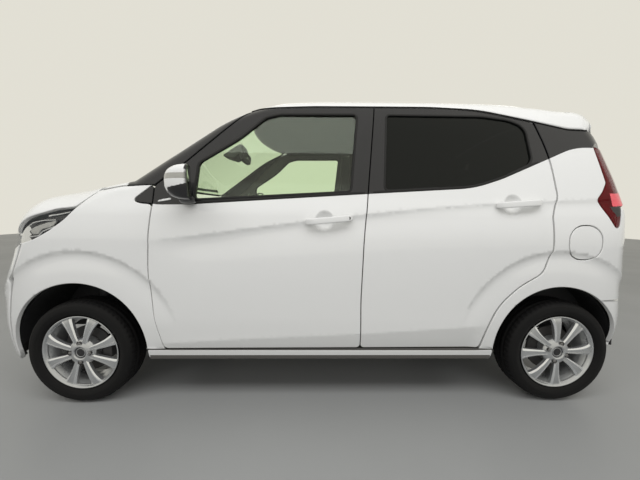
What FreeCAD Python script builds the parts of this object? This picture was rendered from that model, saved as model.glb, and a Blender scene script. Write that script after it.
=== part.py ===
import FreeCAD, Part
import Sketcher
import math
import os
from FreeCAD import Vector

# Small five-door town car, in millimetres.
# The origin is on the ground in the middle of the car; +X runs to the rear, -Y is the left side, +Z is up.

doc = FreeCAD.newDocument("townCar")
sheet = doc.addObject("Spreadsheet::Sheet", "Sizes")

# Driving dimensions: alias, value in millimetres (or degrees where the name says so), meaning
SIZES = [
    ("overallLength", 3395, "bumper to bumper"),
    ("overallWidth", 1475, "over the doors, without mirrors"),
    ("overallHeight", 1640, "ground to the roof's crown"),
    ("wheelbase", 2495, "between the axles"),
    ("frontOverhang", 500, "nose to front axle"),
    ("hubHeight", 272, "ground to wheel centres"),
    ("frontTrack", 1300, "between the front tyres' middle planes"),
    ("rearTrack", 1290, "between the rear tyres' middle planes"),
    ("tyreRadius", 272, "loaded radius of the tyre"),
    ("tyreWidth", 155, "section width"),
    ("rimRadius", 178, "bead seat radius of the rim"),
    ("rimWidth", 114, "between the bead seats"),
    ("rimFlange", 195, "outer radius of the rim's flange"),
    ("hubFaceOffset", 45, "from the rim's middle out to the hub's face"),
    ("spokeCount", 8, "spokes of the wheel"),
    ("boltCircleRadius", 50, "wheel nuts to the wheel's centre"),
    ("boltCount", 4, "wheel nuts"),
    ("boltRecessRadius", 10, "recess round a wheel nut"),
    ("padDrop", 10, "jacking pads below the sill's edge"),
    ("padLength", 60, "jacking pad"),
    ("padWidth", 24, "jacking pad"),
    ("padOut", 662, "jacking pads from the middle plane"),
    ("liftDepth", 92, "tailgate from its skin to its inner face"),
    ("discRadius", 122, "brake disc"),
    ("discThickness", 14, "brake disc"),
    ("sillTop", 298, "lower edge of the doors"),
    ("sillBottom", 238, "lower edge of the sills"),
    ("beltHeight", 1085, "where the windows start over the waist"),
    ("railHeight", 1553, "upper edge of the door frames"),
    ("waistHalfWidth", 700, "half the body's width at the belt"),
    ("railHalfWidth", 591, "half the body's width at the roof rails"),
    ("roofEdgeHeight", 1590, "roof skin over the rails"),
    ("roofHalfWidth", 572, "half the width of the roof's skin"),
    ("doorWall", 80, "whole thickness of a door below the belt"),
    ("frameWall", 36, "whole thickness of a door frame beside the window"),
    ("roofWall", 34, "roof skin with its lining"),
    ("tailWall", 60, "tailgate with its lining"),
    ("skinWall", 22, "hood and fenders with their ribs"),
    ("bumperWall", 34, "bumper cover with its foam"),
    ("panelGap", 9, "between panels that move against each other"),
    ("seamGap", 3, "between fixed panels"),
    ("glassThickness", 5, "window glass"),
    ("glassInset", 7, "glass face behind the body's face"),
    ("windscreenRadius", 2300, "bend of the windscreen from side to side"),
    ("windscreenSlopeDeg", 35.5, "windscreen above the horizontal"),
    ("hoodSlopeDeg", 10.3, "fall of the hood towards the nose"),
    ("frontDoorSetback", 377, "front axle to the front door's foremost edge"),
    ("frontDoorLength", 1063, "front door at its waist"),
    ("archRadius", 337, "front wheel opening"),
    ("rearArchRadius", 326, "rear wheel opening"),
    ("archCentreHeight", 303, "centres of the wheel openings"),
    ("kingpinFoot", 605, "lower ball joint from the middle plane"),
    ("kingpinFootHeight", 190, "lower ball joint over the ground"),
    ("kingpinHead", 515, "strut's top mount from the middle plane"),
    ("kingpinHeadHeight", 945, "strut's top mount over the ground"),
    ("doorAxisOut", 722, "door hinge axes from the middle plane"),
    ("frontDoorAxisBack", 48, "front door's foremost edge to its hinge axis"),
    ("rearDoorAxisBack", 39, "rear door's front edge to its hinge axis"),
    ("handleLength", 218, "door handle's grip"),
    ("handleReach", 32, "door handle's outer face to the door's skin"),
    ("hingeRadius", 7, "barrel of a door hinge"),
    ("hingeHeight", 24, "one half of a door hinge"),
    ("runningGap", 0.3, "between the halves of a hinge"),
    ("postOut", 632, "outer face of the door posts"),
    ("postTopOut", 616, "outer face of the door posts at the belt"),
    ("postIn", 560, "inner face of the door posts"),
    ("floorWall", 50, "floor with its cross members"),
    ("archWall", 6, "wheel tub's thickness"),
    ("frontTubIn", 415, "front tub's inner face from the middle plane"),
    ("rearTubIn", 545, "rear tub's inner face from the middle plane"),
    ("tubOut", 690, "tubs' outer edge from the middle plane"),
    ("frontArchShift", 8, "front opening's centre behind the axle"),
    ("rearArchShift", 27, "rear opening's centre ahead of the axle"),
    ("spindleRadius", 13.92, "wheel spindles"),
    ("hubBore", 14, "wheel hubs"),
    ("hoodAxisBack", 15, "hood's rear edge to its hinge axis"),
    ("hoodAxisDrop", 14, "hood's skin to its hinge axis"),
    ("lidBarrel", 8, "barrel of a hood hinge"),
    ("tailgateAxisDrop", 4, "roof's skin to the tailgate's hinge axis"),
    ("tailgateBarrel", 5, "barrel of a tailgate hinge"),
    ("tailgateSeam", 6, "roof's edge round the tailgate's axis"),
    ("liftGap", 6, "roof's edge to the tailgate's edge"),
    ("lidThickness", 4, "filler lid"),
    ("lidGap", 6, "round the filler lid"),
    ("steeringWheelRadius", 182, "to the middle of the rim"),
    ("steeringRimRadius", 15, "thickness radius of the steering wheel's rim"),
    ("columnAngleDeg", 24, "steering column above the horizontal"),
    ("driverOffset", 345, "driver's middle plane, on the right"),
    ("plateHoleSpacing", 210, "number plate holes"),
    ("plateHoleRadius", 3, "number plate holes"),
    ("towHoleRadius", 8, "towing eye socket"),
    ("fuelLidHeight", 174, "filler lid"),
    ("fuelLidLength", 168, "filler lid"),
]
for row, (alias, value, meaning) in enumerate(SIZES, start=1):
    sheet.set(f"A{row}", alias)
    sheet.set(f"B{row}", str(value))
    sheet.setAlias(f"B{row}", alias)
    sheet.set(f"C{row}", meaning)
doc.recompute()


def size(alias):
    return float(getattr(sheet, alias))


# Places that follow from the sheet
length = size("overallLength")
nose = -length / 2
tail = length / 2
halfWidth = size("overallWidth") / 2
roofTop = size("overallHeight")
frontAxle = nose + size("frontOverhang")
rearAxle = frontAxle + size("wheelbase")
hub = size("hubHeight")
sill = size("sillTop")
sillFoot = size("sillBottom")
belt = size("beltHeight")
rail = size("railHeight")
frontDoor = frontAxle + size("frontDoorSetback")
pillar = frontDoor + size("frontDoorLength")
gap = size("panelGap")
seam = size("seamGap")
far = 3 * length
parts = []


# Geometry helpers

def outline(points, plane, at=0.0):
    """Closed wire of lines and tangent arcs. Each point is (u, v), (u, v, corner radius), or
    (u, v, "through") for the middle of an arc. The plane is "xz", "xy" or "yz", at a place on the
    third axis."""
    places = {
        "xz": lambda u, v: Vector(u, at, v),
        "xy": lambda u, v: Vector(u, v, at),
        "yz": lambda u, v: Vector(at, u, v),
    }
    place = places[plane]
    corners = []
    count = len(points)
    for i, point in enumerate(points):
        here = place(point[0], point[1])
        radius = point[2] if len(point) > 2 else 0
        if radius == "through" or not radius:
            corners.append((here, here, None, radius == "through"))
            continue
        before = place(*points[i - 1][:2])
        after = place(*points[(i + 1) % count][:2])
        back = (before - here).normalize()
        ahead = (after - here).normalize()
        half = (math.pi - back.getAngle(ahead)) / 2
        reach = radius * math.tan(half)
        longest = 0.49 * min((before - here).Length, (after - here).Length)
        if reach > longest:
            reach = longest
            radius = reach / math.tan(half)
        start = here + back * reach
        end = here + ahead * reach
        bisector = (back + ahead).normalize()
        middle = here + bisector * (radius / math.cos(half) - radius)
        corners.append((start, end, middle, False))
    edges = []
    i = 0
    while i < count:
        start, end, middle, through = corners[i]
        if middle is not None:
            edges.append(Part.Arc(start, middle, end).toShape())
        follower = corners[(i + 1) % count]
        if follower[3]:
            target = corners[(i + 2) % count][0]
            edges.append(Part.Arc(end, follower[0], target).toShape())
            i += 2
            continue
        if (end - follower[0]).Length > 0.001:
            edges.append(Part.LineSegment(end, follower[0]).toShape())
        i += 1
    return Part.Wire(Part.__sortEdges__(edges))


def prism(wire, direction):
    """The wire's face carried along the direction."""
    return Part.Face(wire).extrude(direction)


def sidePrism(points, low, high):
    """An x-z outline carried across the car from y = low to y = high."""
    return prism(outline(points, "xz", low), Vector(0, high - low, 0))


def planPrism(points, low, high):
    return prism(outline(points, "xy", low), Vector(0, 0, high - low))


def crossPrism(points, low, high):
    return prism(outline(points, "yz", low), Vector(high - low, 0, 0))


def block(low, high):
    corner = Vector(*[min(a, b) for a, b in zip(low, high)])
    spans = [abs(b - a) for a, b in zip(low, high)]
    return Part.makeBox(*spans, corner)


def rod(start, end, radius):
    span = Vector(*end) - Vector(*start)
    return Part.makeCylinder(radius, span.Length, Vector(*start), span)


def tube(points, radius):
    """Round bar along a bent route: straight runs with a ball at each bend."""
    runs = [rod(a, b, radius) for a, b in zip(points, points[1:])]
    balls = [Part.makeSphere(radius, Vector(*bend)) for bend in points[1:-1]]
    return join(runs + balls)


def join(shapes):
    result = shapes[0]
    if len(shapes) > 1:
        result = shapes[0].fuse(shapes[1:]).removeSplitter()
    return result


def mirrored(shape):
    return shape.mirror(Vector(0, 0, 0), Vector(0, 1, 0))


def bothSides(shape):
    return Part.makeCompound([shape, mirrored(shape)])


def shrink(wire, distance):
    """The same outline moved inwards all round."""
    return wire.makeOffset2D(-distance)


def panel(points, clearance, low, high):
    """An x-z outline made smaller by a clearance and carried from y = low to y = high."""
    return prism(shrink(outline(points, "xz", low), clearance), Vector(0, high - low, 0))


def solids(shape):
    """Only the solids of a boolean's result, without slivers."""
    kept = [solid for solid in shape.Solids if solid.Volume > 100]
    return kept[0] if len(kept) == 1 else Part.makeCompound(kept)


def addShape(label, shape):
    piece = doc.addObject("Part::Feature", label)
    piece.Shape = solids(shape)
    piece.Label = label
    parts.append(piece)
    return piece


def keep(piece, label):
    piece.Label = label
    parts.append(piece)
    return piece


# Body envelope: outlines of the whole car, each pulled in by a wall thickness

def crossSection(side, frame, roof):
    """Half widths over the height, mirrored, with a crowned roof."""
    waist = size("waistHalfWidth")
    railHalf = size("railHalfWidth")
    roofHalf = size("roofHalfWidth")
    edge = size("roofEdgeHeight") - roof
    right = [
        (halfWidth - 38 - side, 150),
        (halfWidth - side, 470, 300),
        (halfWidth - side, 860, 300),
        (waist - side * 0.85, belt - 5, 120),
        (railHalf - frame, rail - roof),
        (roofHalf - frame * 0.6, edge),
    ]
    left = [(-point[0], *point[1:]) for point in reversed(right)]
    return right + [(0, roofTop - roof, "through")] + left


def planOutline(front, rear, side):
    """Nose, tail and their rounded corners, from above."""
    wide = halfWidth - side + 1
    right = [
        (nose + front + 108, halfWidth - 55 - side, 120),
        (nose + front + 330, wide, 500),
        (tail - rear - 250, wide, 500),
        (tail - rear - 45, halfWidth - 26 - side, 110),
    ]
    left = [(point[0], -point[1], *point[2:]) for point in reversed(right)]
    return right + [(tail - rear, 0, "through")] + left + [(nose + front, 0, "through")]


def cabinOutline(roof, rear, floor):
    """Roof, spoiler and tail from the side; the windscreen closes it in front."""
    return [
        (nose, floor),
        (tail - 55 - rear, floor, 60),
        (tail - rear, floor + 190, 120),
        (tail - 2 - rear, 640, 80),
        (tail - 12 - rear, 800),
        (tail - 12 - rear, 1010, 300),
        (tail - 40 - rear, 1135, 200),
        (tail - 90 - rear, 1270, 300),
        (tail - 178 - rear, 1475, 20),
        (tail - 135 - rear, 1503 - roof, 12),
        (tail - 170 - rear, 1535 - roof, 60),
        (rearAxle + 60, 1590 - roof, 900),
        (rearAxle - 380, roofTop - 4 - roof, 2500),
        (frontAxle + 1280, roofTop + 3 - roof, 3000),
        (frontAxle + 880, 1578 + 25 - roof, 900),
        (nose, 1250 - roof),
    ]


def noseOutline(hood, front, floor):
    """Hood and nose from the side, back to under the windscreen."""
    low = sillFoot + floor
    return [
        (nose + 75 + front, low - 43, 50),
        (nose + front, 430, 160),
        (nose + front, 640, 160),
        (nose + 22 + front, 800, 200),
        (nose + 60 + front, 930 - hood, 110),
        (nose + 190 + front, 1040 - hood, 260),
        (frontAxle + 250, 1165 - hood),
        (frontAxle + 480, 1165 - hood),
        (frontAxle + 480, low),
        (frontAxle, low),
        (frontAxle, low - 43),
    ]


def hoodSection(hood, side):
    """Crowned hood with round shoulders, at the front axle."""
    crown = 1130 - hood
    right = [
        (halfWidth + 3 - side, 100),
        (halfWidth + 3 - side, crown - 290, 200),
        (halfWidth - 32 - side, crown - 75, 110),
        (halfWidth - 175 - side, crown - 22, 300),
    ]
    left = [(-point[0], *point[1:]) for point in reversed(right)]
    return right + [(0, crown, "through")] + left


def envelope(side=0, frame=0, roof=0, rear=0, hood=0, front=0, screen=0, floor=0):
    """The whole body as one solid, pulled in by these walls."""
    slope = math.radians(size("windscreenSlopeDeg"))
    rise = math.radians(size("hoodSlopeDeg"))
    radius = size("windscreenRadius") - screen
    along = Vector(math.cos(slope), 0, math.sin(slope))
    inward = Vector(math.sin(slope), 0, -math.cos(slope))
    foot = Vector(frontAxle + 88, 0, 1105)
    bend = Part.makeCylinder(radius, 3 * far, foot + inward * size("windscreenRadius") - along * far, along)
    cabin = sidePrism(cabinOutline(roof, rear, sillFoot + floor), -far, far)
    cabin = cabin.common(bend)
    start = Vector(-800, 0, -800 * math.tan(rise))
    hoodFace = outline(hoodSection(hood, side), "yz", frontAxle)
    hoodFace.translate(start)
    hoodBar = prism(hoodFace, Vector(1500, 0, 1500 * math.tan(rise)))
    front = sidePrism(noseOutline(hood, front, floor), -far, far).common(hoodBar)
    whole = cabin.fuse(front)
    whole = whole.common(crossPrism(crossSection(side, frame, roof), -far, far))
    return whole


def trimmed(shape, front, rear, side):
    return shape.common(planPrism(planOutline(front, rear, side), -far, far))


outer = trimmed(envelope(), 0, 0, 0)
cabinInside = trimmed(
    envelope(size("doorWall"), size("frameWall"), size("roofWall"), size("tailWall"), 60, 60, 34, 50),
    60, size("tailWall"), size("doorWall"))
skin = size("skinWall")
bumperSkin = size("bumperWall")
bayInside = trimmed(
    envelope(skin, skin, size("roofWall"), 30, skin, bumperSkin, 30, -60), bumperSkin, bumperSkin, skin)
glassFace = size("glassInset")
glassBack = glassFace + size("glassThickness")
glassOuter = trimmed(envelope(*[glassFace] * 7, 0), *[glassFace] * 3)
glassInner = trimmed(envelope(*[glassBack] * 7, 0), *[glassBack] * 3)
glassLayer = glassOuter.cut(glassInner)

# The engine bay ends, and the cabin starts, at the firewall
firewall = frontDoor - 190
cabinHalf = block((firewall, -far, 0), (far, far, far))
bayHalf = block((-far, -far, 0), (firewall, far, far))
shell = outer.cut(cabinInside.common(cabinHalf)).cut(bayInside.common(bayHalf))
floorTop = sillFoot + size("floorWall")
sillEdge = sill - gap / 2

# Wheel openings, and the room that each wheel tub takes inside
archHeight = size("archCentreHeight")
frontArchX = frontAxle + size("frontArchShift")
rearArchX = rearAxle - size("rearArchShift")
archTable = [
    # centre x, radius of the opening, tub's inner face from the middle plane
    (frontArchX, size("archRadius"), size("frontTubIn")),
    (rearArchX, size("rearArchRadius"), size("rearTubIn")),
]


def archRoom(centreX, radius, low, high):
    """A wheel opening's half round with its open foot, from y = low to y = high."""
    dome = Part.makeCylinder(radius, high - low, Vector(centreX, low, archHeight), Vector(0, 1, 0))
    foot = block((centreX - radius, low, -far), (centreX + radius, high, archHeight))
    return dome.fuse(foot)


tubWall = size("archWall")
tubOut = size("tubOut")
tubs = []
for centreX, radius, inner in archTable:
    shell = shell.cut(archRoom(centreX, radius, -far, -inner)).cut(archRoom(centreX, radius, inner, far))
    room = archRoom(centreX, radius + 3 + tubWall, -tubOut, -inner)
    shell = shell.cut(room).cut(mirrored(room))
    hollow = archRoom(centreX, radius + 3, -tubOut, -inner - tubWall)
    above = block((-far, -far, archHeight), (far, far, far))
    tubs.append(room.cut(hollow).common(above))
strutHole = block((frontAxle - 80, -600, 500), (frontAxle + 80, -400, 800))
axleHole = block((rearAxle - 60, -600, archHeight - 60), (rearAxle + 60, -500, archHeight + 40))
tubs = [tubs[0].cut(strutHole), tubs[1].cut(axleHole)]
addShape("arch_liners", Part.makeCompound(tubs + [mirrored(tub) for tub in tubs]))


def clearOfTubs(shape):
    for centreX, radius, inner in archTable:
        room = archRoom(centreX, radius + 3 + tubWall, -far, -inner)
        shape = shape.cut(room).cut(mirrored(room))
    return shape


# Outlines of the openings, from the side: x, z, corner radius
frontDoorOutline = [
    (frontDoor + 62, sill, 40),
    (frontDoor + 12, sill + 160, 300),
    (frontDoor, 680, 900),
    (frontDoor + 32, belt - 10, 200),
    (frontDoor + 44, belt + 60, 60),
    (frontDoor + 482, rail - 24, 60),
    (pillar - 350, rail, 900),
    (pillar + 72, rail + 2),
    (pillar + 38, belt + 84, 900),
    (pillar + 8, 820, 900),
    (pillar, 560, 900),
    (pillar + 4, sill),
]
rearDoorOutline = [
    (pillar + 4, sill),
    (pillar, 560, 900),
    (pillar + 8, 820, 900),
    (pillar + 38, belt + 84, 900),
    (pillar + 75, rail + 2),
    (rearAxle - 600, rail, 900),
    (rearAxle - 280, rail - 36, 600),
    (rearAxle - 130, 1474, 60),
    (rearAxle - 76, 1250, 500),
    (rearAxle - 64, 1105, 100),
    (rearAxle - 94, 985, 80),
    (rearAxle - 92, 800, 150),
    (rearAxle - 160, 690, 120),
    (rearAxle - 330, 560, 300),
    (rearAxle - 400, 420, 300),
    (rearAxle - 440, sill),
]
frontWindowOutline = [
    (frontDoor + 185, belt - 25, 30),
    (frontDoor + 255, belt + 120, 60),
    (frontDoor + 560, rail - 52, 70),
    (pillar - 20, rail - 46, 30),
    (pillar - 62, belt + 22, 30),
]
rearWindowOutline = [
    (pillar + 136, rail - 46, 30),
    (pillar + 116, belt + 26, 30),
    (rearAxle - 480, belt + 48, 300),
    (rearAxle - 350, belt + 92, 120),
    (rearAxle - 170, belt + 180, 60),
    (rearAxle - 212, rail - 88, 60),
    (rearAxle - 405, rail - 48, 300),
]


def doorPanel(points, window):
    """A whole left door: skin, frame and lining as one slab, with its window cut."""
    slab = shell.common(panel(points, gap / 2, -far, -300))
    opening = panel(window, 0, -far, 0)
    return slab.cut(opening)


def hingePocket(axisX, front, height):
    """Room in a door's front edge for the fixed half of a hinge."""
    axisY = -size("doorAxisOut")
    clear = size("hingeRadius") + 2
    low = height - size("hingeHeight") - 8
    high = height + size("hingeHeight") + 8
    return block((front - 60, axisY - clear, low), (axisX + clear, -500, high))


def hingeHalves(axisX, height):
    """Fixed lower barrel with its arm to the post, and the door's upper barrel with its web."""
    axisY = -size("doorAxisOut")
    radius = size("hingeRadius")
    tall = size("hingeHeight")
    fixed = join([
        Part.makeCylinder(radius, tall, Vector(axisX, axisY, height - tall)),
        block((axisX - radius, axisY, height - tall), (axisX + radius, -size("postTopOut"), height)),
    ])
    start = height + size("runningGap")
    moving = join([
        Part.makeCylinder(radius, tall, Vector(axisX, axisY, start)),
        block((axisX, axisY - 4, start), (axisX + 30, axisY + radius, start + tall)),
    ])
    return fixed, moving


def pullHandle(x, z, face):
    """A straight grip that stands off the door on two feet."""
    half = size("handleLength") / 2
    out = face - size("handleReach")
    grip = sidePrism([
        (x - half, z - 15, 8),
        (x + half, z - 8, 8),
        (x + half, z + 17, 8),
        (x - half, z + 12, 8)], out, out + 12)
    feet = []
    for middle in (x - half + 16, x + half - 16):
        feet.append(block((middle - 14, out + 6, z - 6), (middle + 14, face + 20, z + 8)))
    return join([grip] + feet)


frontAxis = frontDoor + size("frontDoorAxisBack")
rearAxis = pillar + size("rearDoorAxisBack")
hingeHeights = (440, 880)
fixedHalves = []
doors = {}
doorTable = [
    # node, outline, window, hinge axis x, foremost edge x, then the handle's x, its height and the skin's y
    ("door_front_left", frontDoorOutline, frontWindowOutline, frontAxis, frontDoor,
     (pillar - 165, 966, -727)),
    ("door_rear_left", rearDoorOutline, rearWindowOutline, rearAxis, pillar, (pillar + 788, 1049, -708)),
]
for name, points, window, axisX, front, grip in doorTable:
    door = doorPanel(points, window).fuse(pullHandle(*grip))
    for height in hingeHeights:
        fixed, moving = hingeHalves(axisX, height)
        fixedHalves.append(fixed)
        door = door.cut(hingePocket(axisX, front, height)).fuse(moving)
    doors[name] = door
    addShape(name, door)
    addShape(name.replace("left", "right"), mirrored(solids(door)))
for name, window in (("glass_front", frontWindowOutline), ("glass_rear", rearWindowOutline)):
    pane = glassLayer.common(panel(window, 0.5, -far, -300))
    addShape(name + "_left", pane)
    addShape(name + "_right", mirrored(solids(pane)))
doorHoles = panel(frontDoorOutline, -gap / 2, -far, far).fuse(panel(rearDoorOutline, -gap / 2, -far, far))

# Hood: its outline from the side, and its hinge under the windscreen
hoodRear = frontAxle + 118
hoodLine = [
    (nose - 50, 885),
    (frontAxle - 330, 872, 60),
    (frontAxle - 205, 955, 60),
    (frontAxle - 60, 1008, 100),
    (frontAxle + 35, 1020, 40),
    (hoodRear, 1100),
    (hoodRear, 1400),
    (nose - 50, 1400),
]


def skinTop(x, y):
    """Height of the body's top skin over a point."""
    needle = Part.makeLine(Vector(x, y, 700), Vector(x, y, 2000))
    return outer.common(needle).BoundBox.ZMax


hoodHingeOut = 560
hoodEdge = hoodRear - gap / 2
hoodAxis = Vector(hoodEdge + size("hoodAxisBack"), 0, skinTop(hoodEdge, hoodHingeOut) - size("hoodAxisDrop"))
frontShell = shell.common(block((-far, -far, 0), (frontDoor + 60, far, far)))
hoodRegion = panel(hoodLine, gap / 2, -far, far)
hoodCut = panel(hoodLine, -gap / 2, -far, far)
hood = frontShell.common(hoodRegion)
barrel = size("lidBarrel")
side = Vector(0, 1, 0)
hoodArm = Part.makeCylinder(barrel, 12, hoodAxis + Vector(0, -hoodHingeOut, 0), side)
hoodArm = hoodArm.fuse(block(
    (hoodEdge - 60, -hoodHingeOut, hoodAxis.z - barrel), (hoodAxis.x, 12 - hoodHingeOut, hoodAxis.z)))
hingeEnd = block((hoodEdge - 70, -far, 0), (hoodEdge, far, far))
hoodArm = hoodArm.cut(glassInner.cut(bayInside).common(hingeEnd))
addShape("hood", join([hood, hoodArm, mirrored(hoodArm)]))

# Head lamps, grille and bumper share the nose
bumperLine = [
    (nose - 100, 0),
    (frontAxle - 366, 0),
    (frontAxle - 366, sillFoot + 40),
    (frontAxle - 324, 595, 200),
    (frontAxle - 300, 690, 100),
    (frontAxle - 232, 845),
    (frontAxle - 330, 868),
    (nose - 100, 882),
]
lampLine = [
    (nose - 60, 770),
    (nose + 120, 790, 60),
    (frontAxle - 175, 856, 60),
    (frontAxle - 90, 903, 40),
    (frontAxle + 20, 1008),
    (frontAxle - 60, 996, 60),
    (frontAxle - 205, 945, 40),
    (frontAxle - 330, 866, 40),
    (nose - 60, 880),
]
lampInner = 400
lampRoom = panel(lampLine, 0, -far, -lampInner)
lamps = frontShell.common(panel(lampLine, seam / 2, -far, -lampInner - seam)).cut(hoodCut)
housing = block((nose + 60, -560, 795), (nose + 240, -412 - size("runningGap"), 845)).common(bayInside)
lamps = join([lamps, housing])
addShape("headlamps", bothSides(solids(lamps)))
grilleHalf = lampInner - seam
grilleOpening = [(-grilleHalf, 790, 15), (grilleHalf, 790, 15), (grilleHalf, 868, 15), (-grilleHalf, 868, 15)]
intakeOpening = [(-430, 300, 40), (430, 300, 40), (400, 470, 60), (-400, 470, 60)]
noseStart = nose + 110
bumper = frontShell.common(panel(bumperLine, 0, -far, far)).cut(lampRoom).cut(mirrored(lampRoom))
grille = bumper
for opening in (grilleOpening, intakeOpening):
    bumper = bumper.cut(crossPrism(opening, -far, noseStart))
plateHalf = size("plateHoleSpacing") / 2
plateRadius = size("plateHoleRadius")
frontPlateZ = 560
padReach = plateHalf + 25
bumper = bumper.fuse(block((nose, -padReach, frontPlateZ - 25), (nose + 20, padReach, frontPlateZ + 25)))
for y in (-plateHalf, plateHalf):
    bumper = bumper.cut(rod((nose - 5, y, frontPlateZ), (nose + 60, y, frontPlateZ), plateRadius))
towOut = 430
towHeight = 540
bumper = bumper.cut(rod((nose - 5, towOut, towHeight), (nose + 120, towOut, towHeight), 18))
addShape("front_bumper", bumper)
grilleBars = []
for opening, bars in ((grilleOpening, 2), (intakeOpening, 4)):
    piece = grille.common(crossPrism(opening, -far, noseStart))
    low = opening[0][1]
    pitch = (opening[2][1] - low) / bars
    for k in range(bars):
        slotFoot = low + pitch * k + 12
        piece = piece.cut(block((-far, -385, slotFoot), (noseStart, 385, slotFoot + pitch - 18)))
    grilleBars.append(solids(piece))
addShape("grille", Part.makeCompound(grilleBars))
fenderEnd = panel([
    (frontAxle - 420, 0),
    (frontArchX + size("archRadius"), 0),
    (frontArchX + size("archRadius"), sillEdge),
    (frontDoor + 90, sillEdge),
    (frontDoor + 90, belt - 40),
    (hoodRear + 9, 1092),
    (frontAxle - 420, 1092),
], 0, -far, 80 - size("waistHalfWidth"))
fender = frontShell.common(fenderEnd).cut(hoodCut).cut(panel(bumperLine, -seam, -far, far)).cut(lampRoom)
fender = fender.cut(doorHoles)
addShape("front_fenders", bothSides(solids(fender)))

# Tailgate: hinged in the seam behind the roof
seamX = rearAxle + 45
tailgateAxis = Vector(seamX, 0, skinTop(seamX, 400) - size("tailgateAxisDrop"))
liftBack = tail - size("liftDepth")
tailLine = [
    (seamX, 1520),
    (liftBack - 170, 1440),
    (liftBack - 88, 1270),
    (liftBack - 38, 1135),
    (liftBack - 12, 1010),
    (liftBack, 640),
    (tail + 100, 640),
    (tail + 100, 1800),
    (seamX, 1800),
]
tailgateWidth = [(600, 625, 30), (628, 1090, 100), (578, 1330, 100), (574, 1700)]


def widened(points, extra):
    right = [(point[0] + extra, *point[1:]) for point in points]
    return right + [(-point[0], *point[1:]) for point in reversed(right)]


tailBlock = sidePrism(tailLine, -far, far)
axisLine = Vector(tailgateAxis.x, -far, tailgateAxis.z)
seamRound = Part.makeCylinder(size("tailgateSeam"), 2 * far, axisLine, side)
edgeRound = Part.makeCylinder(size("tailgateSeam") + size("liftGap"), 2 * far, axisLine, side)
rearGlassHole = widened([(500, 1150, 60), (455, 1440, 60)], 0)
tailgate = shell.common(tailBlock).common(crossPrism(widened(tailgateWidth, 0), 0, far)).cut(edgeRound)
tailgateSolid = tailgate.cut(crossPrism(rearGlassHole, rearAxle, far))
backPane = glassLayer.common(crossPrism(widened([(520, 1135, 60), (470, 1455, 60)], 0), tail - 250, far))
addShape("tailgate_glass", backPane.cut(tailgateSolid))
tailCut = tailBlock.cut(block((-far, -far, -far), (far, far, 640))).common(
    crossPrism(widened(tailgateWidth, gap), 0, far)).cut(seamRound)
tailCut = tailCut.fuse(block((tail - 300, -612, 631), (far, 612, 642)))
liftBarrel = size("tailgateBarrel")
fixedBarrels = []
roofNotches = []
for y in (-420, 396):
    start = Vector(tailgateAxis.x, y, tailgateAxis.z)
    moving = Part.makeCylinder(liftBarrel, 12, start + Vector(0, 12 + size("runningGap"), 0), side)
    armFoot = (tailgateAxis.x, y + 12.3, tailgateAxis.z - 4)
    arm = block(armFoot, (tailgateAxis.x + 20, y + 24.3, tailgateAxis.z + 1))
    tailgateSolid = tailgateSolid.fuse([moving, arm])
    roofNotches.append(Part.makeCylinder(liftBarrel + 6, 18, start + Vector(0, 12, 0), side))
    fixedBarrels.append(Part.makeCylinder(liftBarrel, 12, start, side))
rearPlateZ = 890
rearPad = block((tail - 50, -padReach, rearPlateZ - 25), (tail - 10, padReach, rearPlateZ + 25))
tailgateSolid = tailgateSolid.fuse(rearPad)
for y in (-plateHalf, plateHalf):
    tailgateSolid = tailgateSolid.cut(rod((tail - 50, y, rearPlateZ), (tail, y, rearPlateZ), plateRadius))
addShape("tailgate", tailgateSolid)

# Roof, windscreen and pillars
roofLine = [
    (frontAxle + 780, 1420),
    (frontDoor + 470, rail - 18, 60),
    (pillar - 350, rail + gap / 2, 900),
    (pillar + 72, rail + gap / 2 + 2, 900),
    (rearAxle - 600, rail + gap / 2, 900),
    (rearAxle - 280, rail - 30, 600),
    (rearAxle - 125, 1486),
    (rearAxle + 200, 1486),
    (rearAxle + 200, 1800),
    (frontAxle + 780, 1800),
]
roofZone = sidePrism(roofLine, -far, far)
screenRear = frontDoor + 560
windscreenHole = crossPrism([
    (622, 1124),
    (548, 1560, 60),
    (-548, 1560, 60),
    (-622, 1124),
    (0, 1162, "through")], -far, screenRear)
roof = shell.common(roofZone).cut(tailCut).cut(windscreenHole).cut(doorHoles)
addShape("roof", roof.cut(roofNotches).fuse(fixedBarrels))
frame = shell.cut(windscreenHole)
screen = glassLayer.common(crossPrism([
    (638, 1118),
    (560, 1574, 70),
    (-560, 1574, 70),
    (-638, 1118),
    (0, 1156, "through")], -far, screenRear))
screen = screen.common(block((frontAxle + 60, -far, 1060), (screenRear, far, 1600))).cut(frame)
addShape("windshield", screen)
cowlPlate = crossPrism([
    (612, 1040), (612, 1060), (0, 1092, "through"), (-612, 1060), (-612, 1040), (0, 1072, "through")],
    hoodRear + gap / 2, frontDoor - 10)
cowlPlate = cowlPlate.common(glassInner)
cowlRoom = block((frontAxle + 60, -606, 1000), (hoodAxis.x + 30, 606, 1400))
ear = block(
    (hoodAxis.x - barrel, -hoodHingeOut - 12.3, 1050), (hoodAxis.x + barrel, -hoodHingeOut - 0.3, hoodAxis.z))
ear = ear.fuse(Part.makeCylinder(barrel, 12, hoodAxis + Vector(0, -hoodHingeOut - 12.3, 0), side))
ear = ear.common(block((hoodRear + gap / 2, -far, 0), (far, far, far)))
addShape("cowl", join([cowlPlate, ear, mirrored(ear)]))
pillarBox = block((hoodRear + gap / 2, -far, 1030), (frontDoor + 600, -540, 1600))
aPillar = shell.common(pillarBox)
for tool in (windscreenHole, doorHoles, roofZone, hoodCut, fenderEnd, cowlPlate, cowlRoom):
    aPillar = aPillar.cut(tool)
addShape("a_pillars", bothSides(solids(aPillar)))

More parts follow.
